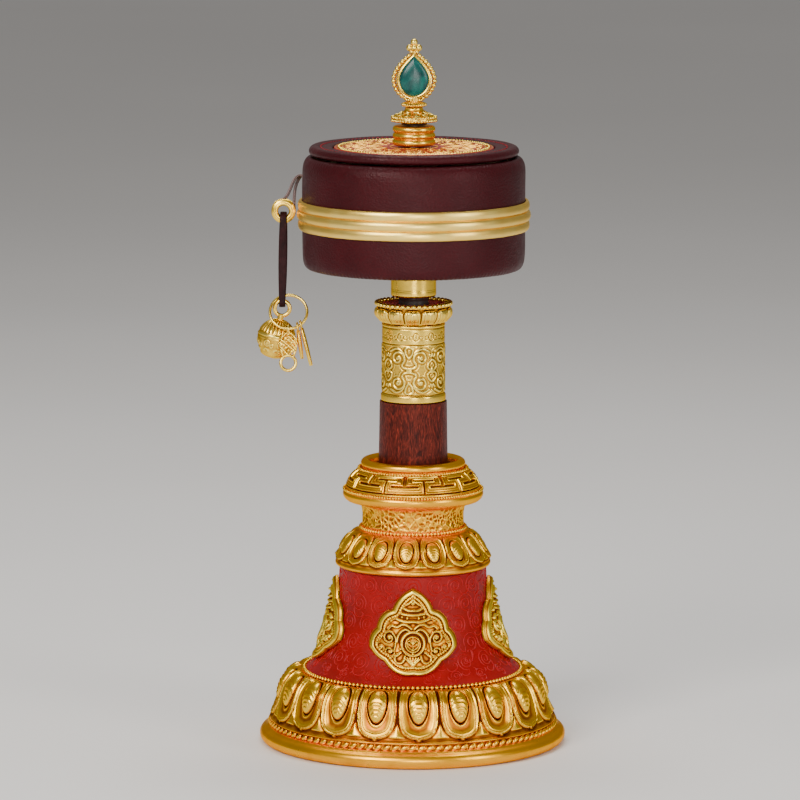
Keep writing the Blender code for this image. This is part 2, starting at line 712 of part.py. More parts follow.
def bell_place():
    """The bell's own frame: origin at its loop's centre, leaning to the left."""
    return Matrix.Translation(BELL_LOOP) @ Matrix.Rotation(BELL_TILT, 4, "Y")


def bell_shell():
    """Hollow round bell with a small opening in its base and a hanging loop."""
    centre, radius, wall = -12.1, 7.6, 0.9
    outside = [(radius * cos(radians(a)), centre + radius * sin(radians(a))) for a in (72, 45, 20, -5, -35)]
    foot = [(5.2, centre - 6.9), (1.7, centre - 8.2)]
    hollow = [(radius - wall) * cos(radians(a)) for a in (-30, 0, 30, 55)]
    heights = [centre + (radius - wall) * sin(radians(a)) for a in (-30, 0, 30, 55)]
    profile = [(0.0, -3.2), (1.3, -3.3)] + outside + foot
    slot_edge = [(1.7, centre - 7.4), (4.6, centre - 6.0)]
    inside = slot_edge + list(zip(hollow, heights)) + [(0.0, centre + radius - wall)]
    shell = turned("bell_shell", profile + inside, BRASS, 18)
    shell.matrix_world = in_metres(bell_place())
    ring_turn = bell_place() @ Matrix.Rotation(radians(90.0), 4, "X")
    loop = torus("bell_loop", (0.0, 0.0, 0.0), 3.0, 0.7, Matrix.Identity(4), 18, 6, None)
    loop.matrix_world = in_metres(ring_turn)
    return combine(shell, loop, "UNION")


def bell_pellet():
    pellet = link(ball_mesh("bell_pellet", [(0.0, 0.0, 0.0)], 2.2), STEEL)
    # The opening in the base is smaller than the pellet, so the pellet rests above it.
    pellet.matrix_world = in_metres(bell_place() @ Matrix.Translation((0.0, 0.0, -17.5)))
    return pellet


def ring_point(degrees):
    """A point on the jump ring's wire; 90 is its top."""
    a = radians(degrees)
    up = Vector((0.0, sin(RING_LEAN), cos(RING_LEAN)))
    return RING_CENTRE + RING_R * (cos(a) * Vector((1.0, 0.0, 0.0)) + sin(a) * up)


def ring_tangent(degrees):
    return (ring_point(degrees + 1.0) - ring_point(degrees - 1.0)).normalized()


def jump_ring():
    lean = Matrix.Rotation(radians(90.0) - RING_LEAN, 4, "X")
    return torus("jump_ring", RING_CENTRE, RING_R, RING_WIRE_R, lean, 28, 6, BRASS)


def knot_charm():
    """Flat openwork charm on an eye round the ring's lowest point, leaning on the bell."""
    eye_at = ring_point(270.0)
    lean = radians(-13.0)
    half = [(0.8, -1.5), (1.5, -2.4), (3.4, -4.4), (3.5, -8.6), (2.5, -11.0), (3.3, -12.4), (3.4, -14.0),
            (2.5, -16.0), (0.9, -16.9)]
    outer = half + [(-x, z) for x, z in reversed(half)]
    window = arc((0.0, -14.0), 1.9, 0.0, 315.0, 7)
    lattice = [(0.0, -4.2), (2.3, -6.6), (0.0, -9.6), (-2.3, -6.6)]
    body = plate("knot_charm", [outer, window, lattice], 1.2, upright(eye_at, lean_x=lean), BRASS)
    eye = torus("knot_eye", eye_at, 1.35, 0.42, Matrix.Rotation(radians(90.0), 4, "Y"), 12, 6, None)
    return combine(body, eye, "UNION")


def leaf(name, degrees, tilt, length):
    """Slim leaf threaded on the ring by a hole in its stalk; it is seen edge on from the front."""
    at = ring_point(degrees)
    hole = arc((0.0, 0.0), 1.1, 0.0, 315.0, 7)
    half = [(1.7, -1.2), (1.2, -2.6), (2.2, -length * 0.45), (1.7, -length * 0.72), (0.5, -length)]
    outline = arc((0.0, 0.0), 1.9, -30.0, 210.0, 8) + [(-x, z) for x, z in half] + list(reversed(half))
    turn = Matrix.Rotation(-tilt, 4, "Y") @ Matrix.Rotation(radians(90.0), 4, "Z")
    place = Matrix.Translation(at) @ turn @ Matrix.Rotation(radians(90.0), 4, "X")
    return plate(name, [outline, hole], 0.8, place, BRASS)


def build_charms():
    tether_cord()
    grommet()
    thong()
    bell_shell()
    bell_pellet()
    jump_ring()
    knot_charm()
    leaf("leaf_a", 312.0, radians(14.0), 17.0)
    leaf("leaf_b", 299.5, radians(8.0), 13.0)


build_stand()
build_handle()
build_drum()
build_lid()
build_finial()
build_charms()
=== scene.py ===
"""Looks of the prayer wheel: finished surfaces, materials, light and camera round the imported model.

Most pieces are turned or cast, so they are a profile swept round an axis, with a relief that moves
the surface in and out. Azimuth 0 is the front (-Y) and azimuths grow towards +X.
Sizes are in millimetres until a mesh is made.
"""

import random
from math import cos, exp, hypot, pi, radians, sin, tau

import bmesh
import bpy
import numpy as np
from mathutils import Matrix, Vector
from mathutils.kdtree import KDTree


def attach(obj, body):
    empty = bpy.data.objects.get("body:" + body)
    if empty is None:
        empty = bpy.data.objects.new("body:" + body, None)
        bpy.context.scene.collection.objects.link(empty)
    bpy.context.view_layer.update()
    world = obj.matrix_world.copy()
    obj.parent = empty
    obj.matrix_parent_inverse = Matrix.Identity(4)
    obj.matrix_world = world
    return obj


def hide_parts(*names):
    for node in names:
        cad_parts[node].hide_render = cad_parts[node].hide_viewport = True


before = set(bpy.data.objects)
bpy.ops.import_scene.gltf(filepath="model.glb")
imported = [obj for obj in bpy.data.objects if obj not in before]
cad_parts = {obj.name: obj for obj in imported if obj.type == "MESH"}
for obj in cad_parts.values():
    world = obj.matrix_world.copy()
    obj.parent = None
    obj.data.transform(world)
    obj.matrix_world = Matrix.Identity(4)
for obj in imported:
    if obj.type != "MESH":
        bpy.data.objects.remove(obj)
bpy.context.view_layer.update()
MM = 0.001
RANDOM = random.Random(7)
HIDDEN_PAINTED_SHADE = 0.95      # painted shade for the surfaces inside a turned piece

# Places and sizes that the CAD part also uses.
WAIST_TOP_R, WAIST_FLARE, WAIST_FLARE_Z, WAIST_FLARE_RUN = 28.9, 14.4, 29.5, 11.5
GAP = 0.3
STUD_AZIMUTH = radians(160.0)
GROMMET = Vector((-51.8, 0.0, 214.2))
BELL_LOOP = Vector((-52.4, 0.0, 175.1))
BELL_TILT = radians(11.0)
RING_CENTRE = Vector((-49.8, -3.7, 174.1))
RING_R = 7.4
RING_LEAN = radians(32.0)
TETHER_R = 0.6
THONG_WIDTH = 2.9
TETHER_ROUTE = [
    (-44.38, 15.35, 226.6), (-45.8, 15.3, 226.6), (-47.2, 12.7, 226.0), (-48.2, 8.4, 224.7),
    (-49.2, 4.0, 222.6), (-50.5, 0.8, 220.1), (-52.5, 0.0, 218.4), (-54.6, 0.0, 217.3),
    (-55.8, 0.0, 215.3), (-55.8, 0.0, 213.0), (-54.6, 0.0, 211.1), (-52.5, 0.0, 210.1),
    (-50.2, 0.0, 210.35), (-48.45, 0.0, 211.75), (-47.65, 0.0, 213.9), (-47.6, 0.0, 216.4),
    (-47.6, 1.3, 218.8), (-47.5, 4.8, 220.9), (-47.2, 9.3, 222.7), (-46.6, 13.3, 224.3),
    (-45.3, 16.6, 226.2), (-43.86, 16.77, 226.6),
]


# Camera ----------------------------------------------------------------------------------------

def make_camera():
    data = bpy.data.cameras.new("camera")
    data.lens = 250.2
    data.sensor_width = 36.0
    camera = bpy.data.objects.new("camera", data)
    camera.location = (-0.0060, -2.2, 0.465)
    camera.rotation_euler = (radians(81.55), radians(-0.12), 0.0)
    bpy.context.scene.collection.objects.link(camera)
    bpy.context.scene.camera = camera


# Materials -------------------------------------------------------------------------------------

class Recipe:
    """A procedural material, with short calls for the nodes that the recipes share."""

    def __init__(self, name, roughness=0.5, metallic=0.0, **sockets):
        self.material = bpy.data.materials.new(name)
        self.material.use_nodes = True
        self.tree = self.material.node_tree
        self.shader = self.tree.nodes["Principled BSDF"]
        self.shader.inputs["Roughness"].default_value = roughness
        self.shader.inputs["Metallic"].default_value = metallic
        for socket, value in sockets.items():
            self.shader.inputs[socket.replace("_", " ")].default_value = value
        self.coordinates = self.tree.nodes.new("ShaderNodeTexCoord").outputs["Object"]

    def add(self, kind, inputs, **settings):
        node = self.tree.nodes.new("ShaderNode" + kind)
        for key, value in settings.items():
            setattr(node, key, value)
        for key, value in inputs.items():
            self.feed(node.inputs[key], value)
        return node

    def feed(self, socket, value):
        if isinstance(value, bpy.types.NodeSocket):
            self.tree.links.new(value, socket)
        else:
            socket.default_value = value

    def stretched(self, stretch):
        return self.add("Mapping", {"Vector": self.coordinates, "Scale": stretch}).outputs["Vector"]

    def noise(self, size_mm, detail=2.0, stretch=(1.0, 1.0, 1.0), distortion=0.0):
        inputs = {"Vector": self.stretched(stretch), "Scale": 1000.0 / size_mm, "Detail": detail,
                  "Distortion": distortion}
        return self.add("TexNoise", inputs).outputs["Fac"]

    def cells(self, size_mm, stretch=(1.0, 1.0, 1.0)):
        inputs = {"Vector": self.stretched(stretch), "Scale": 1000.0 / size_mm}
        return self.add("TexVoronoi", inputs).outputs["Distance"]

    def attribute(self, name):
        return self.add("Attribute", {}, attribute_name=name).outputs["Fac"]

    def maths(self, operation, a, b):
        return self.add("Math", {0: a, 1: b}, operation=operation).outputs[0]

    def span(self, value, low, high, to_low=0.0, to_high=1.0):
        inputs = {"Value": value, "From Min": low, "From Max": high, "To Min": to_low, "To Max": to_high}
        return self.add("MapRange", inputs).outputs[0]

    def ramp(self, value, stops):
        """Colours by value: a list of (position, colour)."""
        node = self.add("ValToRGB", {"Fac": value})
        elements = node.color_ramp.elements
        while len(elements) < len(stops):
            elements.new(0.5)
        for element, (position, colour) in zip(elements, stops):
            element.position = position
            element.color = (*colour, 1.0)
        return node.outputs["Color"]

    def mix(self, share, a, b, blend="MIX"):
        node = self.add("Mix", {"Factor": share}, data_type="RGBA", blend_type=blend)
        self.feed(node.inputs[6], a if isinstance(a, bpy.types.NodeSocket) else (*a, 1.0))
        self.feed(node.inputs[7], b if isinstance(b, bpy.types.NodeSocket) else (*b, 1.0))
        return node.outputs[2]

    def bump(self, height, distance_mm, normal=None):
        inputs = {"Height": height, "Distance": distance_mm * MM, "Strength": 1.0}
        if normal is not None:
            inputs["Normal"] = normal
        return self.add("Bump", inputs).outputs["Normal"]

    def finish(self, colour=None, roughness=None, metallic=None, normal=None):
        for socket, value in (("Base Color", colour), ("Roughness", roughness),
                              ("Metallic", metallic), ("Normal", normal)):
            if value is not None:
                self.feed(self.shader.inputs[socket], value)
        return self.material


def metal(name, deep, low, middle, bright, roughness):
    """Cast or engraved metal: patina and painted shade in the recesses, a polish on the proud edges."""
    made = Recipe(name, metallic=1.0, Specular_Tint=(1.0, 0.72, 0.32, 1.0))
    # The attribute puts patina and painted shade in the hollows.
    patina_and_shade = made.maths("ADD", made.attribute("patina_and_shade"), made.span(made.noise(7.0, 3.0), 0.3, 0.7, -0.04, 0.04))
    colour = made.ramp(patina_and_shade, [(0.12, bright), (0.50, middle), (0.68, low), (0.92, deep)])
    smudge = made.span(made.noise(14.0, 4.0), 0.3, 0.7, -0.04, 0.06)
    rough = made.maths("ADD", made.span(patina_and_shade, 0.45, 0.95, roughness, roughness + 0.22), smudge)
    grain = made.bump(made.noise(0.5, 3.0), 0.01)
    return made.finish(colour, rough, normal=made.bump(made.noise(3.5, 2.0), 0.04, grain))


def gilt():
    return metal("antique_gilt", (0.075, 0.010, 0.0015), (0.44, 0.12, 0.005), (1.0, 0.47, 0.010),
                 (1.0, 0.64, 0.045), 0.29)


def medallion_gilt():
    return metal("medallion_gilt", (0.13, 0.025, 0.002), (0.58, 0.20, 0.007), (1.0, 0.60, 0.022),
                 (1.0, 0.76, 0.085), 0.32)


def brass():
    return metal("polished_brass", (0.13, 0.05, 0.006), (0.60, 0.31, 0.025), (1.0, 0.66, 0.075),
                 (1.0, 0.80, 0.18), 0.25)


def satin_brass():
    made = Recipe("satin_brass", metallic=1.0, Specular_Tint=(1.0, 0.85, 0.6, 1.0))
    colour = made.ramp(made.noise(9.0, 3.0), [(0.3, (1.0, 0.66, 0.13)), (0.7, (1.0, 0.75, 0.20))])
    rough = made.span(made.noise(6.0, 4.0), 0.3, 0.7, 0.32, 0.40)
    brushed = made.noise(0.6, 2.0, stretch=(0.06, 0.06, 1.0))
    return made.finish(colour, rough, normal=made.bump(brushed, 0.006))


def crimson():
    made = Recipe("crimson_lacquer", Specular_IOR_Level=0.22, Coat_Weight=0.05, Coat_Roughness=0.3)
    patch = made.noise(12.0, 4.0)
    flat_red = made.ramp(patch, [(0.3, (0.22, 0.0001, 0.0006)), (0.7, (0.32, 0.0002, 0.0010))])
    # The raised scroll tops are mixed to a lighter red: a painted highlight.
    raised = made.span(made.attribute("raised"), 0.0, 1.0)
    colour = made.mix(raised, flat_red, (0.42, 0.004, 0.008))
    rough = made.span(made.noise(2.2, 3.0), 0.3, 0.7, 0.38, 0.52)
    grain = made.maths("ADD", made.cells(0.55), made.noise(0.35, 3.0))
    return made.finish(colour, rough, normal=made.bump(grain, 0.035))


def leather():
    made = Recipe("burgundy_leather", Specular_IOR_Level=0.24, Specular_Tint=(1.0, 0.72, 0.74, 1.0))
    pebble = made.cells(0.85, stretch=(1.0, 1.0, 1.1))
    fine = made.noise(0.45, 4.0)
    tone = made.ramp(made.noise(16.0, 4.0), [(0.3, (0.030, 0.0012, 0.0030)), (0.72, (0.045, 0.0018, 0.0042))])
    colour = made.mix(made.span(pebble, 0.05, 0.6, 0.5, 0.0), tone, (0.015, 0.0008, 0.0014))
    rough = made.span(made.noise(3.0, 4.0), 0.3, 0.7, 0.36, 0.50)
    creased = made.bump(fine, 0.05)
    return made.finish(colour, rough, normal=made.bump(pebble, 0.12, creased))


def thong_leather():
    made = Recipe("thong_leather", Specular_IOR_Level=0.16, Specular_Tint=(1.0, 0.8, 0.8, 1.0))
    colour = made.ramp(made.noise(2.2, 4.0), [(0.3, (0.010, 0.0028, 0.0034)), (0.75, (0.028, 0.006, 0.0075))])
    return made.finish(colour, made.span(made.noise(1.0), 0.3, 0.7, 0.42, 0.6),
                       normal=made.bump(made.noise(0.35, 3.0), 0.05))


def rosewood():
    made = Recipe("rosewood", Specular_IOR_Level=0.22, Specular_Tint=(1.0, 0.75, 0.7, 1.0))
    rings = made.noise(5.0, 5.0, stretch=(1.0, 1.0, 0.34), distortion=2.6)
    fibres = made.noise(0.8, 5.0, stretch=(1.0, 1.0, 0.16), distortion=2.2)
    body = made.ramp(rings, [(0.30, (0.022, 0.0026, 0.0020)), (0.45, (0.084, 0.0084, 0.0046)),
                             (0.58, (0.130, 0.0140, 0.0072)), (0.70, (0.040, 0.0044, 0.0030))])
    streak = made.ramp(fibres, [(0.38, (0.34, 0.30, 0.30)), (0.55, (1.0, 1.0, 1.0)), (0.68, (1.8, 1.9, 1.9))])
    colour = made.mix(1.0, body, streak, "MULTIPLY")
    rough = made.span(fibres, 0.3, 0.7, 0.52, 0.34)
    return made.finish(colour, rough, normal=made.bump(fibres, 0.13))


def turquoise():
    made = Recipe("turquoise", roughness=0.26, Specular_IOR_Level=0.35)
    cloud = made.noise(5.5, 5.0, distortion=0.8)
    colour = made.ramp(cloud, [(0.30, (0.0001, 0.030, 0.032)), (0.50, (0.0002, 0.072, 0.064)),
                               (0.72, (0.0008, 0.140, 0.115))])
    vein = made.span(made.noise(2.4, 6.0, distortion=1.6), 0.62, 0.72, 0.0, 0.5)
    return made.finish(made.mix(vein, colour, (0.0005, 0.018, 0.022)),
                       normal=made.bump(made.noise(1.2, 3.0), 0.006))


def braid():
    made = Recipe("braided_cord", Specular_IOR_Level=0.3)
    # Tone follows the bulge of the strands: painted shade where they dip, painted highlight on their crests.
    colour = made.ramp(made.attribute("tone"), [(0.52, (0.010, 0.005, 0.006)), (0.66, (0.46, 0.30, 0.28))])
    return made.finish(colour, made.span(made.noise(0.3), 0.3, 0.7, 0.55, 0.8),
                       normal=made.bump(made.noise(0.16, 2.0), 0.05))


def filigree():
    """Red enamel with raised gold; the piece's own heights say which is which."""
    made = Recipe("filigree_on_enamel")
    gold_share = made.span(made.attribute("raised"), 0.48, 0.66)
    enamel = made.ramp(made.noise(4.0, 3.0), [(0.3, (0.26, 0.006, 0.004)), (0.7, (0.42, 0.014, 0.007))])
    # The gold darkens in the hollows: patina and painted shade.
    gold = made.ramp(made.attribute("patina_and_shade"), [(0.25, (1.0, 0.50, 0.07)), (0.7, (0.55, 0.16, 0.015))])
    rough = made.span(made.noise(1.5, 3.0), 0.3, 0.7, 0.30, 0.44)
    return made.finish(made.mix(gold_share, enamel, gold), rough, gold_share,
                       made.bump(made.noise(0.4), 0.02))


def thread():
    made = Recipe("waxed_thread", Specular_IOR_Level=0.3)
    colour = made.ramp(made.noise(0.8), [(0.3, (0.13, 0.003, 0.007)), (0.7, (0.25, 0.006, 0.013))])
    return made.finish(colour, made.span(made.noise(0.3), 0.3, 0.7, 0.45, 0.7),
                       normal=made.bump(made.noise(0.2, 2.0), 0.05))


def steel():
    made = Recipe("ground_steel", metallic=1.0)
    colour = made.ramp(made.noise(5.0), [(0.3, (0.42, 0.42, 0.43)), (0.7, (0.60, 0.60, 0.61))])
    ground = made.noise(0.5, 2.0, stretch=(0.1, 0.1, 1.0))
    return made.finish(colour, made.span(made.noise(2.0), 0.3, 0.7, 0.20, 0.34), normal=made.bump(ground, 0.006))


def nylon():
    made = Recipe("dark_nylon")
    colour = made.ramp(made.noise(3.0), [(0.3, (0.020, 0.011, 0.010)), (0.7, (0.040, 0.020, 0.017))])
    return made.finish(colour, made.span(made.noise(1.2), 0.3, 0.7, 0.42, 0.6),
                       normal=made.bump(made.noise(0.3), 0.015))


def cloth_like(name, dark, light, pile_mm):
    """Felt: matted short fibres with a slight sheen."""
    made = Recipe(name, Sheen_Weight=0.08, Sheen_Roughness=0.6, Specular_IOR_Level=0.1)
    fibres = made.noise(pile_mm, 6.0, distortion=2.0)
    return made.finish(made.ramp(fibres, [(0.3, dark), (0.7, light)]),
                       made.span(fibres, 0.3, 0.7, 0.85, 1.0), normal=made.bump(fibres, 0.25))


def board():
    made = Recipe("pressed_board")
    flecks = made.noise(1.2, 6.0, stretch=(1.0, 1.0, 0.4))
    return made.finish(made.ramp(flecks, [(0.3, (0.16, 0.095, 0.05)), (0.7, (0.33, 0.22, 0.125))]),
                       made.span(flecks, 0.3, 0.7, 0.75, 0.9), normal=made.bump(flecks, 0.05))


def printed_roll():
    """Paper wound round the core: its edges show as fine rings with rows of dark ink."""
    made = Recipe("printed_paper")
    rings = made.add("TexWave", {"Vector": made.coordinates, "Scale": 320.0, "Distortion": 0.25, "Detail": 1.0},
                     wave_type="RINGS", rings_direction="Z").outputs["Fac"]
    paper = made.ramp(made.noise(6.0, 4.0), [(0.3, (0.60, 0.46, 0.26)), (0.7, (0.78, 0.65, 0.42))])
    ink = made.span(made.noise(1.1, 2.0, stretch=(1.0, 1.0, 3.0)), 0.56, 0.60, 0.0, 0.55)
    edge = made.mix(made.span(rings, 0.2, 0.8, 0.5, 0.0), paper, (0.30, 0.20, 0.10))
    return made.finish(made.mix(ink, edge, (0.05, 0.035, 0.03)), made.span(rings, 0.0, 1.0, 0.7, 0.9),
                       normal=made.bump(rings, 0.08))


def floor_paint():
    made = Recipe("studio_floor")
    return made.finish(made.ramp(made.noise(600.0), [(0.3, (0.84, 0.83, 0.82)), (0.7, (0.87, 0.86, 0.85))]),
                       made.span(made.noise(300.0), 0.3, 0.7, 0.55, 0.62))


GILT, MEDAL, BRASS, SATIN = gilt(), medallion_gilt(), brass(), satin_brass()
CRIMSON, LEATHER, THONG_LEATHER, WOOD = crimson(), leather(), thong_leather(), rosewood()
STONE, BRAID, FILIGREE, THREAD = turquoise(), braid(), filigree(), thread()
STEEL, NYLON, BOARD, PAPER = steel(), nylon(), board(), printed_roll()
FELT = cloth_like("green_black_felt", (0.018, 0.020, 0.018), (0.05, 0.052, 0.048), 0.5)
RED_FELT = cloth_like("red_felt", (0.46, 0.006, 0.005), (0.78, 0.022, 0.014), 0.4)


# Mesh helpers ----------------------------------------------------------------------------------

def make_piece(name, points, faces, finish, body, stands_for=(), attributes=None, crease=50.0):
    """A mesh object from points in millimetres, riding on a body."""
    mesh = bpy.data.meshes.new(name)
    mesh.from_pydata((np.asarray(points) * MM).tolist(), [], [tuple(face) for face in faces])
    mesh.materials.append(finish)
    mesh.shade_smooth()
    mesh.set_sharp_from_angle(angle=radians(crease))
    for key, values in (attributes or {}).items():
        layer = mesh.attributes.new(key, "FLOAT", "POINT")
        layer.data.foreach_set("value", np.asarray(values, np.float32).ravel())
    item = bpy.data.objects.new(name, mesh)
    bpy.context.scene.collection.objects.link(item)
    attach(item, body)
    if stands_for:
        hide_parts(*stands_for)
    return item


def grid_faces(rows, columns, close_rows=False):
    """Quads of a grid whose columns run round; close_rows joins the last row to the first."""
    row = np.arange(rows if close_rows else rows - 1)[:, None]
    column = np.arange(columns)[None, :]
    below, right = (row + 1) % rows, (column + 1) % columns
    corners = [row * columns + column, below * columns + column, below * columns + right, row * columns + right]
    return np.stack(corners, axis=-1).reshape(-1, 4).tolist()


def loft_faces(rows, columns):
    """Quads between the rings of a loft, and a face on each end."""
    faces = grid_faces(rows, columns)
    faces.append(list(range(columns)))
    faces.append(list(range(rows * columns - 1, (rows - 1) * columns - 1, -1)))
    return faces


def turned_by(points, place):
    matrix = np.array(place)
    return points @ matrix[:3, :3].T + matrix[:3, 3]


def smooth_line(points, step):
    """A smooth line through the points, at an even step. A point given twice stays a corner."""
    pts = np.array(points, float)
    ends = np.vstack([pts[:1], pts, pts[-1:]])
    found = []
    for a, b, c, d in zip(ends, ends[1:], ends[2:], ends[3:]):
        t = np.linspace(0.0, 1.0, 12, endpoint=False)[:, None]
        found.append(0.5 * (2 * b + (c - a) * t + (2 * a - 5 * b + 4 * c - d) * t ** 2
                            + (3 * b - a - 3 * c + d) * t ** 3))
    line = np.vstack(found + [pts[-1:]])
    gone = np.concatenate([[0.0], np.cumsum(np.linalg.norm(np.diff(line, axis=0), axis=1))])
    at = np.linspace(0.0, gone[-1], max(2, round(gone[-1] / step) + 1))
    return np.stack([np.interp(at, gone, line[:, k]) for k in range(line.shape[1])], axis=1)


def along(line):
    return np.concatenate([[0.0], np.cumsum(np.linalg.norm(np.diff(line, axis=0), axis=1))])


def box_blur(grid, rows, columns):
    for axis, reach in ((0, rows), (1, columns)):
        grid = sum(np.roll(grid, k, axis) for k in range(-reach, reach + 1)) / (2 * reach + 1)
    return grid


def patina_and_shade_of(height, reach=3, scale=0.5):
    """0 on proud edges, 0.5 on even ground and 1 in the recesses: patina and painted shade in the hollows, polish on
    the edges.
    """
    near = box_blur(box_blur(height, reach, reach), reach, reach) - height
    wide = box_blur(height, 3 * reach, 3 * reach) - height
    return np.clip(0.5 + near / (2 * scale) + wide / (7 * scale), 0.0, 1.0)


def lathe(name, outer, inner, around, finish, body, stands_for=(), relief=None, place=None,
          crease=50.0, depth=0.4, reach=3):
    """A closed solid of revolution. The outer line runs down the outside, the inner points back up.

    relief(azimuth, along, radius) gives the height of the outer surface, as rows by columns.
    """
    outer = np.asarray(outer, float)
    line = np.vstack([outer, np.asarray(inner, float)]) if len(inner) else outer
    slope = np.gradient(outer, axis=0)
    normal = np.stack([-slope[:, 1], slope[:, 0]], axis=1)
    normal /= np.maximum(np.linalg.norm(normal, axis=1), 1e-9)[:, None]
    normal = np.vstack([normal, np.zeros((len(line) - len(outer), 2))])
    azimuth = np.arange(around) * tau / around
    height = np.zeros((len(line), around))
    if relief is not None:
        height[:len(outer)] = relief(azimuth, along(outer), outer[:, 0])
    radius = np.maximum(line[:, :1] + height * normal[:, :1], 0.02)
    level = line[:, 1:] + height * normal[:, 1:]
    points = np.stack([radius * np.sin(azimuth), -radius * np.cos(azimuth), level], axis=-1).reshape(-1, 3)
    if place is not None:
        points = turned_by(points, place)
    # Patina and painted shade in the relief's hollows, lighter polish on its proud edges; the inside surfaces get an
    # even painted shade.
    patina_and_shade = patina_and_shade_of(height, reach, depth)
    patina_and_shade[len(outer):] = HIDDEN_PAINTED_SHADE
    return make_piece(name, points, grid_faces(len(line), around, close_rows=True), finish, body,
                      stands_for, {"patina_and_shade": patina_and_shade}, crease)


def ball_template():
    """A unit sphere of points and triangles."""
    shape = bmesh.new()
    bmesh.ops.create_icosphere(shape, subdivisions=2, radius=1.0)
    points = np.array([v.co[:] for v in shape.verts])
    faces = np.array([[v.index for v in f.verts] for f in shape.faces])
    shape.free()
    return points, faces


BALL_POINTS, BALL_FACES = ball_template()


def bead_mesh(centres, radii):
    """Points and triangles of many small balls."""
    centres = np.asarray(centres, float)
    radii = np.broadcast_to(np.asarray(radii, float), (len(centres),))
    points = (centres[:, None, :] + BALL_POINTS[None] * radii[:, None, None]).reshape(-1, 3)
    faces = (BALL_FACES[None] + (np.arange(len(centres)) * len(BALL_POINTS))[:, None, None]).reshape(-1, 3)
    return points, faces.tolist()


def beads(name, centres, radii, finish, body):
    points, faces = bead_mesh(centres, radii)
    tops = np.tile(0.55 - 0.3 * np.abs(BALL_POINTS).max(axis=1), len(centres))
    return make_piece(name, points, faces, finish, body, attributes={"patina_and_shade": tops})


def circle_points(count, radius, level, start=0.0):
    azimuth = start + np.arange(count) * tau / count
    return np.stack([radius * np.sin(azimuth), -radius * np.cos(azimuth), np.full(count, level)], axis=1)


def tube_mesh(path, radius, sides=8, closed=False, taper=None, wide=1.0, up=None):
    """Points and faces of a tube along a path. wide stretches its section along the side direction."""
    path = np.asarray(path, float)
    if closed:
        tangent = np.roll(path, -1, 0) - np.roll(path, 1, 0)
    else:
        tangent = np.gradient(path, axis=0)
    tangent /= np.maximum(np.linalg.norm(tangent, axis=1), 1e-9)[:, None]
    if up is None:
        side = np.zeros_like(path)
        last = np.array([0.0, 0.0, 1.0]) if abs(tangent[0][2]) < 0.9 else np.array([1.0, 0.0, 0.0])
        for i, direction in enumerate(tangent):
            last = last - direction * last.dot(direction)
            last /= max(np.linalg.norm(last), 1e-9)
            side[i] = last
    else:
        side = np.cross(tangent, np.asarray(up, float))
        side /= np.maximum(np.linalg.norm(side, axis=1), 1e-9)[:, None]
    other = np.cross(tangent, side)
    sizes = np.full(len(path), radius, float) if taper is None else radius * np.asarray(taper, float)
    angle = np.arange(sides) * tau / sides
    points = (path[:, None, :] + sizes[:, None, None] * (wide * np.cos(angle)[None, :, None] * side[:, None, :]
                                                         + np.sin(angle)[None, :, None] * other[:, None, :]))
    faces = grid_faces(len(path), sides, close_rows=True) if closed else loft_faces(len(path), sides)
    return points.reshape(-1, 3), [face[::-1] for face in faces]


def joined(meshes):
    """Several (points, faces) as one."""
    points, faces, first = [], [], 0
    for these, quads in meshes:
        points.append(these)
        faces += [[i + first for i in face] for face in quads]
        first += len(these)
    return np.vstack(points), faces


def nearest(points, samples):
    """Distance from each point to its nearest sample."""
    tree = KDTree(len(samples))
    for i, sample in enumerate(samples):
        tree.insert(sample, i)
    tree.balance()
    return np.array([tree.find(point)[2] for point in points])


def flat(u, v):
    return np.stack([u.ravel(), v.ravel(), np.zeros(u.size)], axis=1)


def line_samples(lines, step=0.12):
    """Samples along flat lines, as points in the plane."""
    found = []
    for line in lines:
        fine = smooth_line(line, step)
        found.append(np.column_stack([fine, np.zeros(len(fine))]))
    return np.vstack(found)


def ridge(distance, half_width):
    """A rounded ridge: 1 on its line and 0 beyond its half width."""
    share = np.clip(distance / half_width, 0.0, 1.0)
    return (1.0 - share ** 2) ** 2


def step_up(value, low, high):
    share = np.clip((value - low) / (high - low), 0.0, 1.0)
    return share * share * (3.0 - 2.0 * share)


def repeated(count, around, start, line, motif):
    """A relief made of equal sectors. motif(u, v) is worked out for one sector, u across it in mm."""
    distance, radius = line
    columns = around // count
    share = (np.arange(columns) / columns - 0.5) * tau / count
    u = share[None, :] * radius[:, None]
    v = np.repeat(distance[:, None], columns, axis=1)
    sector = motif(u, v)
    shift = round((start / tau) * around - columns / 2)
    return np.roll(np.tile(sector, (1, count)), shift, axis=1)


def mirrored(lines):
    return lines + [[(-x, y) for x, y in line] for line in lines]


def spiral(x, y, size, start, turns, steps=16):
    """A line that winds in from its rim to its centre; negative turns wind the other way."""
    found = []
    for i in range(steps + 1):
        share = i / steps
        angle = radians(start) + tau * turns * share
        radius = size * (1.0 - 0.86 * share)
        found.append((x + radius * cos(angle), y + radius * sin(angle)))
    return found


# Stand -----------------------------------------------------------------------------------------

LOWER_PETALS, LOWER_PETAL_R = 20, 53.0      # how many, and the radius that their width is stated at
UPPER_PETALS, UPPER_PETAL_R = 16, 28.9
FRETS, FRET_R = 10, 24.8
NECK_R = 20.3
HAMMER_MARKS = 340


def waist_r(z):
    return WAIST_TOP_R + WAIST_FLARE * np.exp(-(z - WAIST_FLARE_Z) / WAIST_FLARE_RUN)


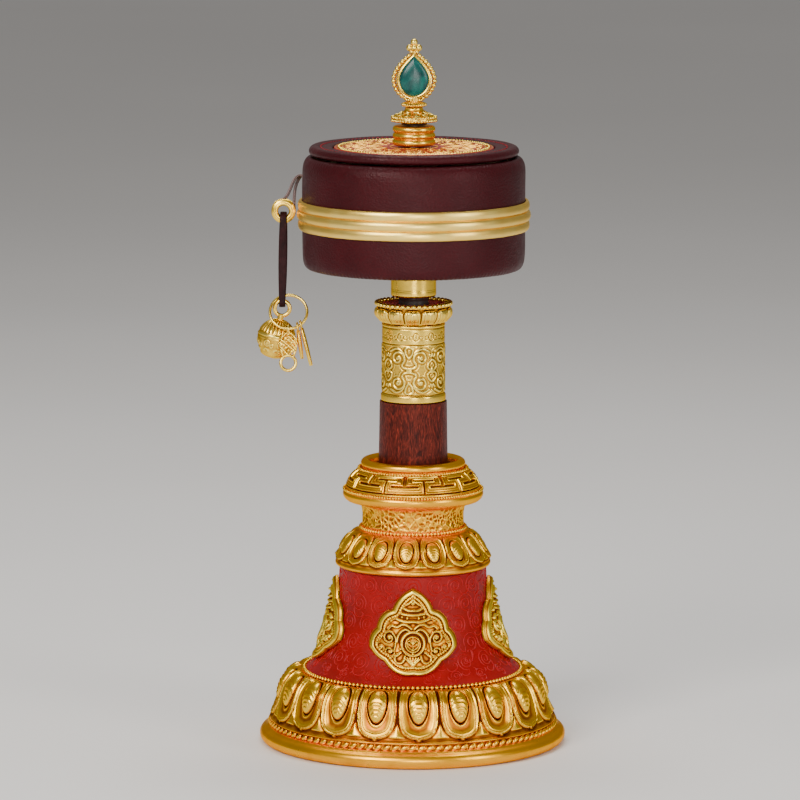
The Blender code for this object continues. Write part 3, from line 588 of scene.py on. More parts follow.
def petal_relief(u, v, scale, half, boss_at, boss_size):
    """One lotus petal: a thin double rim, a hollow, an oval boss with engraved scales, and small tips
    that show between the petals. u is measured across from the middle and v down from the root.

    half is the right half of the outline, as (across, down) points that end at the tip.
    """
    length = half[-1][1]
    widest = max(point[0] for point in half)
    outline = line_samples(mirrored([half]))
    away = nearest(flat(u, v), outline).reshape(u.shape)
    edge_u = np.interp(v, [p[1] for p in half], [p[0] for p in half])
    inside = (np.abs(u) < edge_u) & (v < length)
    depth = np.where(inside, away, -away) / scale
    body = 1.15 * step_up(depth, -0.40, 0.12) - 0.55 * step_up(depth, 0.35, 0.85)
    body += 0.26 * ridge(np.abs(depth - 1.45), 0.42) - 0.45 * step_up(depth, 1.7, 3.9)
    boss_u, boss_v = boss_size
    down = (v - boss_at) / boss_v
    across = u / (boss_u * (1.0 - 0.10 * np.clip(down, -1.0, 1.0)))
    inner = np.sqrt(across ** 2 + down ** 2)
    boss = 2.0 * np.clip(1.0 - inner ** 2, 0.0, 1.0) ** 0.42
    rings = 0.28 * ridge(np.abs(inner - 1.18) * boss_u / scale, 0.36)
    rings -= 0.35 * ridge(np.abs(inner - 1.03) * boss_u / scale, 0.30)
    bottom = boss_at + 0.84 * boss_v
    arc = np.hypot(u * 1.45, v - bottom)
    saw = (arc / (0.235 * boss_v)) % 1.0
    scales = 0.34 * (saw - 0.5) * (inner < 0.88) * (arc < 1.30 * boss_v) * (v < bottom)
    gap_u = 1.09 * widest - np.abs(u)
    leaf = 1.0 - np.abs(gap_u) / (0.42 * widest * step_up(v, 0.72 * length, 0.97 * length) + 0.001)
    tip = 0.85 * np.clip(leaf, 0.0, 1.0) ** 0.7 * (v < 0.975 * length) * (v > 0.72 * length)
    return scale * (body + boss + rings + scales + np.where(inside, 0.0, tip))


def rope(name, radius, level, count, length, thick):
    """A rope line: slanted grains that overlap all the way round."""
    grains = []
    for i in range(count):
        azimuth = i * tau / count
        turn = Matrix.Rotation(azimuth, 4, "Z") @ Matrix.Translation((0.0, -radius, level))
        turn = turn @ Matrix.Rotation(radians(-32.0), 4, "Y") @ Matrix.Diagonal((length / 2, thick, thick, 1.0))
        grains.append((turned_by(BALL_POINTS, turn), BALL_FACES.tolist()))
    points, faces = joined(grains)
    # Grains lighter on the outside and darker where they meet the body and each other: painted shade.
    shade = np.clip(0.95 - 0.5 * (np.hypot(points[:, 0], points[:, 1]) - radius + 0.4 * thick) / thick, 0.15, 1.0)
    return make_piece(name, points, faces, GILT, "stand", attributes={"patina_and_shade": shade})


def build_plinth():
    around = LOWER_PETALS * 60
    shoulder = [(42.9, 28.0), (43.5, 28.4), (44.7, 28.9), (46.3, 28.8), (48.9, 27.2), (51.2, 24.6), (52.7, 21.0),
                (53.9, 17.2), (55.2, 13.6), (56.4, 11.0)]
    ledge = [(56.9, 10.5), (57.5, 10.1), (57.6, 9.6), (57.0, 9.2)]
    groove = [(56.8, 8.0), (57.2, 7.2), (58.2, 6.8), (58.8, 6.2)]
    rim = [(59.5, 5.9), (60.7, 5.2), (61.4, 4.1), (61.5, 3.0), (61.2, 1.8), (60.4, 0.8), (59.4, 0.35)]
    petal_line = smooth_line(shoulder, 0.33)
    lower = np.vstack([smooth_line(ledge, 0.35), smooth_line(groove, 0.45), smooth_line(rim, 0.45)])
    line = np.vstack([petal_line, lower])
    length = along(petal_line)[-1]
    pitch = tau * LOWER_PETAL_R / LOWER_PETALS
    half = [(0.35 * pitch, 1.4), (0.405 * pitch, 4.0), (0.445 * pitch, 9.0), (0.460 * pitch, 14.5),
            (0.435 * pitch, 18.6), (0.365 * pitch, 21.8), (0.22 * pitch, length - 1.1), (0.0, length - 0.1)]

    def relief(azimuth, distance, radius):
        scaled = distance, LOWER_PETAL_R * (radius / LOWER_PETAL_R) ** 0.55
        petals = repeated(LOWER_PETALS, around, radians(2.3), scaled,
                          lambda u, v: petal_relief(u, v, 1.0, half, 11.3, (3.8, 7.0)))
        fade = 1.0 - step_up(distance, length + 0.1, length + 0.8)
        root = step_up(distance, 1.8, 5.2)
        dents = 0.05 * np.sin(azimuth * 3.0 + 1.0) * step_up(distance, length, length + 6.0)[:, None]
        return petals * (fade * root)[:, None] + dents

    inner = [(56.2, 0.7), (56.0, 5.0), (49.0, 10.5), (3.6, 10.5), (3.6, 13.5), (46.0, 13.5), (37.5, 25.4),
             (37.5, 28.0), (42.0, 28.0)]
    lathe("stand_lower_lotus", line, inner, around, GILT, "stand", ["stand_plinth"], relief, crease=70.0,
          depth=0.5)
    beads("stand_lower_beads", circle_points(144, 43.7, 29.5), 0.84, GILT, "stand")
    rope("stand_rope", 57.3, 8.1, 104, 4.0, 0.98)


SCROLL_ROWS = [(67.2, 9.2), (59.6, 9.4), (51.8, 9.8), (44.2, 10.4), (37.4, 11.4), (32.9, 12.0)]   # level, pitch


def waist_scroll(kind, flip, spin):
    """The flat lines of one cloud scroll, about 9 mm across."""
    lines = [spiral(0.0, 0.0, 3.0, 200.0, 1.7, 22)]
    lines.append([(3.9 * cos(radians(a)), 3.9 * sin(radians(a))) for a in range(-60, 170, 15)])
    if kind == 0:
        lines.append([(-2.8, -1.0), (-3.6, -3.0), (-5.4, -4.4), (-7.4, -4.2), (-8.2, -2.8), (-7.3, -1.9),
                      (-6.6, -2.6)])
        lines.append([(-3.8, 0.7), (-5.2, -0.4), (-6.2, 0.6), (-6.0, 2.4), (-4.6, 3.4)])
    elif kind == 1:
        lines.append([(-2.8, -1.0), (-4.2, -2.2), (-6.3, -1.6), (-7.6, 0.2), (-6.9, 1.9), (-5.6, 1.5), (-5.9, 0.5)])
        lines.append([(1.9, -3.4), (3.6, -4.3), (5.6, -3.6), (6.4, -1.9), (5.4, -1.2)])
        lines.append([(-0.4, -4.0), (-0.8, -5.6), (0.6, -6.6)])
    else:
        lines.append([(-2.8, -1.0), (-3.2, -3.4), (-1.8, -5.3), (0.4, -5.9), (1.9, -4.9), (1.1, -3.8), (0.3, -4.5)])
        lines.append([(-3.9, 0.7), (-5.8, 1.0), (-7.0, 2.6), (-6.2, 4.2), (-4.9, 3.6)])
    found = []
    for line in lines:
        turned = [(x * flip * cos(spin) - y * sin(spin), x * flip * sin(spin) + y * cos(spin)) for x, y in line]
        found.append(turned)
    return found


def ribbon_mesh(line, width, height, lift):
    """A closed ribbon with a rounded top, laid on a surface by lift(x, y, h)."""
    fine = smooth_line(line, 0.42)
    direction = np.gradient(fine, axis=0)
    direction /= np.maximum(np.linalg.norm(direction, axis=1), 1e-9)[:, None]
    side = np.stack([-direction[:, 1], direction[:, 0]], axis=1)
    ends = np.minimum(np.arange(len(fine)), np.arange(len(fine))[::-1])
    taper = np.clip(0.35 + ends * 0.2, 0.0, 1.0)
    section = [(-1.0, -0.06), (-0.55, 0.62), (0.0, 1.0), (0.55, 0.62), (1.0, -0.06), (0.0, -0.9)]
    rings = []
    for across, up in section:
        place = fine + side * (across * width / 2 * taper)[:, None]
        rings.append(lift(place[:, 0], place[:, 1], up * height * taper))
    return np.stack(rings, axis=1).reshape(-1, 3), loft_faces(len(fine), len(section))


def under_medallion(azimuth, level):
    off = abs((azimuth + pi / 4) % (pi / 2) - pi / 4) * waist_r(level)
    reach = 3.0 + 14.5 * exp(-((level - 45.0) / 13.0) ** 2)
    return off < reach - 4.0 and 36.0 < level < 64.0


def build_waist():
    levels = np.concatenate([np.linspace(71.3, 44.0, 28), np.linspace(43.0, 29.2, 34)])
    outer = [(waist_r(z), z) for z in levels]
    inner = [(38.5, 29.0), (35.6, 34.0), (30.3, 42.0), (27.2, 54.0), (25.9, 71.3)]
    lathe("waist_body", outer, inner, 256, CRIMSON, "stand", ["waist_shell"],
          lambda azimuth, distance, radius: 0.03 * np.sin(azimuth * 5.0)[None, :] * np.ones((len(outer), 1)))
    ribbons = []
    for row, (level, pitch) in enumerate(SCROLL_ROWS):
        count = round(tau * waist_r(level) / pitch)
        for i in range(count):
            azimuth = (i + 0.5 * (row % 2)) * tau / count + RANDOM.uniform(-0.02, 0.02)
            kind, flip = RANDOM.choice((0, 1, 2)), RANDOM.choice((-1.0, 1.0))
            spin, size = RANDOM.uniform(-0.7, 0.7), RANDOM.uniform(0.86, 1.02)
            if under_medallion(azimuth, level):
                continue
            slope = (waist_r(level - 0.5) - waist_r(level + 0.5))
            foreshort = 1.0 / hypot(1.0, slope)
            if level < 34.0:
                size *= 0.62

            def lift(x, y, h, azimuth=azimuth, level=level, foreshort=foreshort):
                z = np.clip(level + y * foreshort, 30.0, 71.0)
                angle = azimuth + x / waist_r(level)
                radius = waist_r(z) + h
                return np.stack([radius * np.sin(angle), -radius * np.cos(angle), z + h * 0.3], axis=1)

            for line in waist_scroll(kind, flip, spin):
                ribbons.append(ribbon_mesh([(x * size, y * size) for x, y in line], 0.50, 0.22, lift))
    points, faces = joined(ribbons)
    level = np.clip(points[:, 2], 30.0, 72.0)
    # Height of the ribbons over the waist, which the lacquer turns into a painted highlight.
    raised = np.clip((np.hypot(points[:, 0], points[:, 1]) - waist_r(level)) / 0.2, 0.0, 1.0)
    make_piece("waist_scrolls", points, faces, CRIMSON, "stand", attributes={"raised": raised})


def build_upper_lotus():
    around = UPPER_PETALS * 60
    crown = [(20.2, 86.6), (21.4, 86.4), (22.6, 85.9), (23.9, 84.8), (25.6, 83.0), (27.2, 80.7), (28.9, 78.0),
             (30.5, 75.8), (31.1, 74.7)]
    rim = [(30.7, 74.1), (30.9, 73.7), (31.2, 73.1), (31.0, 72.3), (30.3, 71.75)]
    petal_line = smooth_line(crown, 0.25)
    line = np.vstack([petal_line, smooth_line(rim, 0.3)])
    length = along(petal_line)[-1]
    pitch = tau * UPPER_PETAL_R / UPPER_PETALS
    half = [(0.30 * pitch, 3.2), (0.375 * pitch, 5.0), (0.425 * pitch, 7.8), (0.445 * pitch, 10.8),
            (0.41 * pitch, 13.2), (0.31 * pitch, 15.2), (0.15 * pitch, length - 0.7), (0.0, length - 0.3)]

    def relief(azimuth, distance, radius):
        scaled = distance, UPPER_PETAL_R * (radius / UPPER_PETAL_R) ** 0.8
        petals = repeated(UPPER_PETALS, around, radians(-5.6), scaled,
                          lambda u, v: petal_relief(u, v, 0.68, half, 9.5, (2.7, 4.3)))
        fade = 1.0 - step_up(distance, length - 0.1, length + 0.5)
        root = step_up(distance, 2.2, 4.6)
        return petals * (fade * root)[:, None]

    inner = [(28.6, 71.75), (24.0, 71.75), (18.6, 74.7), (18.6, 86.6)]
    lathe("stand_upper_lotus", line, inner, around, GILT, "stand", ["lotus_casting"], relief, crease=70.0,
          depth=0.36)
    beads("stand_upper_beads", circle_points(88, 21.05, 87.1), 0.74, GILT, "stand")


def fret_relief(u, v, pitch, height):
    """Key fret: sunk T shapes, upright and hanging in turn, leave one raised band between them."""
    def box(x, y, half_x, half_y):
        return np.hypot(np.maximum(np.abs(x) - half_x, 0.0), np.maximum(np.abs(y) - half_y, 0.0))

    other = np.abs(u) - 0.5 * pitch
    stem_down = box(u, v - 0.26 * height, 0.030 * pitch, 0.30 * height)
    bar_low = box(u, v - 0.63 * height, 0.335 * pitch, 0.042 * height)
    stem_up = box(other, v - 0.66 * height, 0.010 * pitch, 0.36 * height)
    bar_high = box(other, v - 0.25 * height, 0.265 * pitch, 0.045 * height)
    sunk = np.minimum.reduce([stem_down, bar_low, stem_up, bar_high])
    border = np.minimum(np.abs(v + 0.03 * height), np.abs(v - 1.05 * height))
    away = np.minimum(sunk, np.maximum(border - 0.10, 0.0))
    band = 0.52 * step_up(away, 0.04, 0.30)
    edge = 0.20 * ridge(np.abs(away - 0.42), 0.24) - 0.12 * ridge(np.abs(away - 0.95), 0.4)
    keep = step_up(v, -0.8, -0.45) * (1.0 - step_up(v, height + 0.6, height + 0.9))
    return (band + edge - 0.38) * keep


def build_neck():
    around = FRETS * 108
    lip = [(17.3, 112.4), (17.5, 113.6), (18.2, 114.5), (19.1, 114.8), (20.1, 114.5), (20.8, 113.7), (20.95, 112.7),
           (20.6, 111.8), (20.5, 111.5)]
    shoulder = [(20.9, 111.2), (22.0, 110.3), (23.8, 108.9), (25.4, 107.0), (26.5, 104.8), (27.2, 102.9)]
    rim = [(27.6, 102.2), (28.1, 101.3), (28.15, 100.3), (27.6, 99.1), (26.6, 98.2)]
    neck = [(24.2, 97.7), (21.7, 96.9), (20.6, 95.4), (20.15, 93.0), (20.1, 90.4), (20.2, 88.4), (20.2, 87.0)]
    parts = [smooth_line(lip, 0.4), smooth_line(shoulder, 0.17), smooth_line(rim, 0.35), smooth_line(neck, 0.26)]
    line = np.vstack(parts)
    starts = np.cumsum([0.0] + [along(part)[-1] for part in parts])
    fret_start = starts[1] + 1.75
    fret_height = along(parts[1])[-1] - 2.9
    pitch = tau * FRET_R / FRETS
    spots = KDTree(HAMMER_MARKS)
    for i in range(HAMMER_MARKS):
        angle, level = RANDOM.uniform(0.0, tau), RANDOM.uniform(86.5, 98.0)
        spots.insert((NECK_R * sin(angle), -NECK_R * cos(angle), level), i)
    spots.balance()

    def relief(azimuth, distance, radius):
        scaled = distance - fret_start, np.full_like(radius, FRET_R)
        height = repeated(FRETS, around, radians(-8.0), scaled,
                          lambda u, v: fret_relief(u, v, pitch, fret_height))
        grooves = -0.34 * ridge(np.abs(line[:, 1] - 111.1), 0.7) - 0.30 * ridge(np.abs(line[:, 1] - 102.6), 0.7)
        height += grooves[:, None]
        rows = np.flatnonzero(line[:, 1] < 97.6)
        for row in rows:
            level = line[row, 1]
            keep = float(step_up(level, 87.6, 88.6) * (1.0 - step_up(level, 96.0, 97.3)))
            for column, angle in enumerate(azimuth):
                found = spots.find_n((NECK_R * sin(angle), -NECK_R * cos(angle), level), 2)
                first, second = found[0][2], found[1][2]
                height[row, column] = keep * (0.26 * exp(-((second - first) / 0.42) ** 2)
                                              - 0.20 * exp(-(first / 0.75) ** 2))
        return height

    inner = [(18.5, 87.4), (18.3, 66.0), (6.0, 66.0), (5.0, 60.0), (3.3, 60.0), (3.3, 65.0), (0.03, 65.0),
             (0.03, 69.0), (15.9, 69.0), (15.9, 105.0), (16.6, 110.5)]
    lathe("stand_neck", line, inner, around, GILT, "stand", ["neck_cup"], relief, crease=70.0,
          depth=0.30, reach=2)
    beads("stand_fret_beads", circle_points(113, 21.75, 111.0), 0.60, GILT, "stand")
    beads("stand_collar_beads", circle_points(150, 27.75, 102.6), 0.56, GILT, "stand")


MEDALLION_HALF_OUTLINE = [        # (x, z, bulge of the arc that follows)
    (0.0, 67.2, 0.22), (8.0, 58.8, 0.34), (14.3, 51.2, 0.26), (17.4, 43.9, 0.20),
    (11.6, 38.7, 0.30), (0.0, 34.0, 0.0),
]
MEDALLION_CENTRE = 46.5


def medallion_outline(steps):
    right = []
    for (x0, z0, bulge), (x1, z1, _) in zip(MEDALLION_HALF_OUTLINE, MEDALLION_HALF_OUTLINE[1:]):
        for i in range(steps):
            t = i / steps
            push = 4 * bulge * t * (1 - t) * 0.5
            right.append((x0 + (x1 - x0) * t + (z0 - z1) * push, z0 + (z1 - z0) * t + (x1 - x0) * push))
    right.append((0.0, MEDALLION_HALF_OUTLINE[-1][1]))
    return right + [(-x, z) for x, z in reversed(right[1:-1])]


def medallion_lines():
    """The ornament's raised lines on the right half, as (line, half width, height)."""
    ring = [(4.5 * sin(radians(a)), 45.9 + 4.5 * cos(radians(a))) for a in range(0, 181, 15)]
    inner = [(2.9 * sin(radians(a)), 45.6 + 2.9 * cos(radians(a))) for a in range(0, 181, 20)]
    fan = [([(0.0, 37.2), (0.55 * k, 39.0), (1.15 * k, 40.6)], 0.42, 0.7) for k in range(4)]
    lines = [
        (ring, 0.75, 1.25), (inner, 0.45, 0.9),
        ([(0.0, 45.6), (1.5, 47.0), (2.3, 45.6), (1.4, 44.2), (0.0, 43.4)], 0.42, 0.9),
        ([(0.0, 48.6), (0.0, 43.0)], 0.4, 0.9),
        ([(0.0, 63.2), (1.1, 61.9), (2.6, 60.9), (4.6, 60.0)], 0.5, 0.9),
        ([(0.0, 58.7), (2.2, 58.8), (4.6, 60.0)], 0.55, 1.0),
        ([(0.0, 56.9), (2.6, 57.0), (5.0, 57.5), (6.1, 58.6), (5.7, 59.6)], 0.6, 0.9),
        ([(0.0, 54.4), (2.6, 54.3), (5.2, 54.8), (7.4, 55.6), (8.6, 54.6)], 0.7, 1.1),
        ([(0.6, 51.6), (2.4, 53.0), (4.4, 53.2), (6.3, 52.2), (8.4, 52.6), (9.8, 51.4)], 0.65, 1.0),
        ([(1.2, 50.6), (3.0, 51.4), (4.8, 50.4), (6.0, 48.6), (6.4, 46.6)], 0.6, 1.0),
        (spiral(9.4, 48.0, 2.5, 120.0, -1.35), 0.55, 1.15),
        (spiral(12.7, 44.0, 2.1, 60.0, -1.3), 0.5, 1.1),
        (spiral(9.3, 42.9, 2.2, 200.0, 1.35), 0.52, 1.1),
        ([(8.2, 50.0), (6.9, 48.0), (7.0, 45.4), (7.6, 43.0)], 0.5, 0.9),
        ([(10.9, 50.3), (12.2, 48.6), (13.6, 46.6)], 0.45, 0.8),
        ([(4.8, 42.6), (6.0, 41.6), (7.2, 40.6), (6.9, 39.0), (5.2, 38.4), (3.8, 39.3), (3.2, 41.2)], 0.6, 1.1),
        ([(0.0, 36.6), (2.6, 36.7), (5.2, 37.4)], 0.45, 0.7),
        ([(7.9, 40.6), (9.4, 40.3), (10.8, 40.9)], 0.45, 0.8),
    ]
    return lines + fan


def medallion_knobs():
    """Small domes of the ornament: (x, z, radius, height)."""
    right = [(2.3, 55.7, 0.55, 0.7), (4.4, 56.0, 0.5, 0.65), (9.4, 48.0, 0.8, 1.3), (12.7, 44.0, 0.75, 1.25),
             (9.3, 42.9, 0.75, 1.25), (1.5, 45.6, 0.6, 0.9), (7.3, 57.1, 0.6, 0.8), (5.0, 43.9, 0.6, 0.8)]
    return [(0.0, 61.6, 0.85, 1.3), (0.0, 42.0, 0.7, 1.0)] + right + [(-x, z, r, h) for x, z, r, h in right]


def medallion_thickness(x, z, outline):
    """Height over the waist: flat rim, beaded border, then the ornament on a domed ground."""
    here = flat(x, z)
    rim_line = line_samples([outline + outline[:1]], 0.15)
    away = nearest(here, rim_line).reshape(x.shape)
    share = np.clip(away / 9.5, 0.0, 1.0)
    ground = 1.1 + 2.7 * (1.0 - (1.0 - share) ** 2)
    rim = 0.75 * np.sqrt(np.clip(1.0 - ((away - 0.95) / 1.0) ** 2, 0.0, 1.0))
    closed = np.array(outline + outline[:2])
    steps = np.gradient(closed, axis=0)[:-2]
    inward = np.stack([steps[:, 1], -steps[:, 0]], axis=1)
    inward /= np.linalg.norm(inward, axis=1)[:, None]
    from_centre = np.array(outline) - [0, MEDALLION_CENTRE]
    border = np.array(outline) - inward * 2.75 * np.sign((inward * from_centre).sum(1))[:, None]
    evenly = smooth_line(np.vstack([border, border[:1]]), 1.05)
    pearls = nearest(here, np.column_stack([evenly, np.zeros(len(evenly))])).reshape(x.shape)
    bead = 0.42 * np.sqrt(np.clip(1.0 - (pearls / 0.5) ** 2, 0.0, 1.0))
    field = step_up(away, 3.1, 3.7)
    total = ground + rim - 0.55 * step_up(away, 1.7, 2.1) + bead
    raised = np.zeros_like(x)
    for line, half_width, height in medallion_lines():
        distance = nearest(here, line_samples(mirrored([line]))).reshape(x.shape)
        raised = np.maximum(raised, height * ridge(distance, half_width * 1.25))
    for knob_x, knob_z, radius, height in medallion_knobs():
        distance = np.hypot(x - knob_x, z - knob_z) / radius
        raised = np.maximum(raised, height * np.sqrt(np.clip(1.0 - distance ** 2, 0.0, 1.0)))
    return total + field * (raised * 1.15 - 0.25)


def build_medallions():
    outline = medallion_outline(28)
    edge = np.array(outline)
    shares = np.concatenate([[1.0, 1.0, 0.992, 0.98], np.linspace(0.965, 0.012, 84)])
    x = edge[None, :, 0] * shares[:, None]
    z = MEDALLION_CENTRE + (edge[None, :, 1] - MEDALLION_CENTRE) * shares[:, None]
    thick = medallion_thickness(x, z, outline)
    thick[0], thick[1], thick[2], thick[3] = 0.1, 1.0, 1.4, 1.55
    # Patina and painted shade in the ornament's hollows, polish on its proud lines.
    patina_and_shade = patina_and_shade_of(thick, 2, 0.42)
    patina_and_shade[:3] = 0.6
    back_share = 0.5
    back_x = edge[:, 0] * back_share
    back_z = MEDALLION_CENTRE + (edge[:, 1] - MEDALLION_CENTRE) * back_share
    count = len(edge)

    def on_waist(u, w, height):
        radius = waist_r(w) + GAP + height
        return np.stack([u, -np.sqrt(radius ** 2 - u ** 2), w], axis=-1).reshape(-1, 3)

    front = on_waist(x, z, thick)
    back = on_waist(back_x, back_z, 0.5)
    rows = len(shares)
    faces = [face[::-1] for face in grid_faces(rows, count)]
    faces.append(list(range((rows - 1) * count, rows * count)))
    faces += [[rows * count + i, rows * count + (i + 1) % count, (i + 1) % count, i][::-1] for i in range(count)]
    faces.append([rows * count + i for i in reversed(range(count))])
    for name, azimuth in (("front", 0.0), ("right", 90.0), ("back", 180.0), ("left", 270.0)):
        points = turned_by(np.vstack([front, back]), Matrix.Rotation(radians(azimuth), 4, "Z"))
        # The back, hidden against the waist, gets a painted shade.
        shade = np.concatenate([patina_and_shade.ravel(), np.full(count, 0.8)])
        make_piece("cartouche_" + name, points, faces, MEDAL, "stand", ["medallion_" + name],
                   {"patina_and_shade": shade}, crease=75.0)


def build_stand():
    build_plinth()
    build_waist()
    build_upper_lotus()
    build_neck()
    build_medallions()


# Handle ----------------------------------------------------------------------------------------

def build_grip():
    outer = smooth_line([(12.9, 138.1), (13.3, 137.9), (13.42, 137.2), (13.6, 125.0), (13.8, 113.0), (13.75, 95.0),
                         (13.7, 77.8), (13.4, 77.35)], 1.2)
    inner = [(12.4, 77.3), (12.4, 72.2), (0.03, 72.2), (0.03, 92.0), (2.5, 92.0), (2.5, 169.2), (11.7, 169.2),
             (11.7, 138.1)]

    def relief(azimuth, distance, radius):
        slow = 0.05 * np.sin(8.0 * azimuth + 0.6)
        pores = 0.02 * np.sin(61.0 * azimuth + np.cos(distance[:, None] * 0.21))
        return slow[None, :] + pores

    lathe("rosewood_grip", outer, inner, 192, WOOD, "handle", ["grip"], relief)


def sleeve_relief(u, v, height):
    """Leafy scrolls chased into the tube, each line with finer lines beside it, on one quarter."""
    lines = []
    for flip in (1.0, -1.0):
        for sign in (1.0, -1.0):
            def at(x, y, flip=flip, sign=sign):
                return (flip * x, height / 2 + sign * y)
            lines.append([at(x, y) for x, y in spiral(4.9, 4.9, 3.2, 230.0, -1.5)])
            lines.append([at(0.5, 0.8), at(2.2, 1.2), at(2.9, 2.4), at(1.8, 4.6), at(2.6, 7.4), at(5.4, 8.8),
                          at(8.4, 7.6)])
            lines.append([at(0.0, 9.6), at(1.5, 8.6), at(1.1, 6.4), at(0.0, 5.0)])
            lines.append([at(9.0, 0.4), at(7.8, 1.4), at(8.3, 3.2), at(9.7, 4.4)])
            lines.append([at(8.6, 6.4), at(9.3, 5.6), at(9.9, 6.6)])
    away = nearest(flat(u, v), line_samples(lines)).reshape(u.shape)
    scroll = 0.30 * ridge(away, 0.56) - 0.22 * ridge(np.abs(away - 0.86), 0.26)
    echo = 0.14 * ridge(np.abs(away - 1.30), 0.27) - 0.15 * ridge(np.abs(away - 1.75), 0.25)
    leaf = 0.0
    for x, y, size in ((0.0, 0.0, 1.3), (4.9, 4.9, 0.8), (4.9, -4.9, 0.8), (9.9, 0.0, 1.3)):
        distance = np.hypot(np.abs(u) - x, v - height / 2 - y) / size
        leaf = np.maximum(leaf, 0.30 * np.sqrt(np.clip(1.0 - distance ** 2, 0.0, 1.0)))
    return np.maximum(scroll + echo, leaf) - 0.05


def bud_relief(u, v):
    """A small engraved bud with two side leaves, for the plain band."""
    bud = np.abs(np.hypot(u, v * 0.85) - 1.25)
    stem = np.hypot(u, np.maximum(np.abs(v) - 0.7, 0.0))
    side = np.abs(np.hypot(np.abs(u) - 2.1, v - 0.4) - 0.75)
    return -0.16 * np.maximum.reduce([ridge(bud, 0.26), ridge(stem, 0.24), ridge(side, 0.24)])


SLEEVE_R = 12.6


def build_sleeve():
    around = 4 * 132
    top, bottom = 169.45, 138.4
    line = smooth_line([(12.2, top), (12.65, top - 0.1), (12.65, top - 0.9)], 0.3)
    wall = np.array([(12.55, z) for z in np.arange(top - 1.1, 141.4, -0.19)])
    foot = smooth_line([(12.55, 141.3), (12.95, 141.0), (13.02, 139.8), (12.95, 138.6), (12.6, bottom)], 0.28)
    line = np.vstack([line, wall, foot])
    scroll_top, scroll_bottom = 161.4, 141.9
    levels = line[:, 1]

    def relief(azimuth, distance, radius):
        wall_r = np.full_like(radius, SLEEVE_R)
        height = repeated(4, around, radians(-8.0), (scroll_top - levels, wall_r),
                          lambda u, v: sleeve_relief(u, v, scroll_top - scroll_bottom))
        under_top = 1.0 - step_up(levels, scroll_top - 0.3, scroll_top)
        height *= (step_up(levels, scroll_bottom, scroll_bottom + 0.3) * under_top)[:, None]
        band = repeated(12, around, radians(5.0), (165.2 - levels, wall_r), bud_relief)
        height += band * ((levels > 162.4) & (levels < 168.0))[:, None]
        for level, size in ((161.9, 0.22), (168.2, 0.16), (141.7, 0.16)):
            height -= size * ridge(np.abs(levels - level), 0.35)[:, None]
        return height

    lathe("engraved_sleeve", line, [(12.0, bottom), (12.0, top)], around, BRASS, "handle", ["grip_sleeve"],
          relief, crease=70.0, depth=0.19, reach=3)


def collar_petal(u, v, pitch, length):
    """A short plump petal with an arched top, a line inside its edge and a fold down the middle."""
    across = np.abs(u) / (0.475 * pitch)
    down = np.clip((v - 0.2) / (0.42 * length), 0.0, 1.0)
    rounded = np.clip(1.0 - across ** 3 - (1.0 - down) ** 3, 0.0, 1.0)
    plump = 1.05 * rounded ** 0.5
    line = -0.22 * ridge(np.abs(across - 0.66) * 0.475 * pitch, 0.34) * (down > 0.35)
    fold = 0.18 * ridge(np.abs(u), 0.6) * step_up(down, 0.5, 1.0)
    narrow = 1.0 - 0.35 * step_up(v, 0.55 * length, length)
    return (plump + line + fold) * narrow - 0.35


COLLAR_R = 14.4
COLLAR_PETALS = 13


def build_collar():
    around = COLLAR_PETALS * 48
    dish = [(5.9, 175.95), (13.4, 175.95), (13.6, 176.3), (13.9, 177.1), (14.4, 177.4)]
    bowl = [(14.9, 177.2), (14.7, 176.6), (14.35, 176.1), (14.7, 175.5), (14.95, 174.6), (14.75, 173.2),
            (14.1, 171.8), (13.2, 170.6), (12.75, 169.9)]
    bowl_line = smooth_line(bowl, 0.2)
    line = np.vstack([smooth_line(dish, 0.5), bowl_line])
    levels = line[:, 1]
    starts = along(line)[len(line) - len(bowl_line)]
    pitch = tau * COLLAR_R / COLLAR_PETALS

    def relief(azimuth, distance, radius):
        down = distance - starts - 1.2, np.full_like(radius, COLLAR_R)
        height = repeated(COLLAR_PETALS, around, radians(-2.0), down, lambda u, v: collar_petal(u, v, pitch, 5.4))
        keep = step_up(levels, 169.9, 170.5) * (1.0 - step_up(levels, 175.9, 176.4))
        keep = np.where(np.arange(len(levels)) >= len(line) - len(bowl_line), keep, 0.0)
        return height * keep[:, None]

    inner = [(2.5, 169.9), (2.5, 175.95)]
    lathe("lotus_collar_cast", line, inner, around, BRASS, "handle", ["lotus_collar"], relief, crease=70.0,
          depth=0.36, reach=3)
    beads("collar_beads", circle_points(42, 14.75, 177.45), 0.98, BRASS, "handle")


def build_small_turned():
    pad = smooth_line([(6.5, 177.0), (7.2, 177.15), (12.6, 177.15), (13.4, 176.9), (13.4, 176.3)], 0.5)
    lathe("dish_felt", pad, [(13.3, 176.1), (6.4, 176.1)], 96, RED_FELT, "handle", ["collar_pad"])
    bush = smooth_line([(2.6, 179.9), (5.6, 179.9), (6.0, 179.6), (5.8, 178.6), (6.0, 177.6), (6.1, 176.3)], 0.3)
    lathe("neck_bush", bush, [(2.6, 176.2)], 80, NYLON, "handle", ["thrust_bush"])


def ferrule_mark(u, v):
    """A row of small engraved lozenges."""
    lozenge = np.abs(np.abs(u) * 0.8 + np.abs(v) - 1.1)
    dot = np.hypot(u, v)
    return -0.16 * np.maximum(ridge(lozenge, 0.25), ridge(dot, 0.35))


FERRULE_MARKS = 14


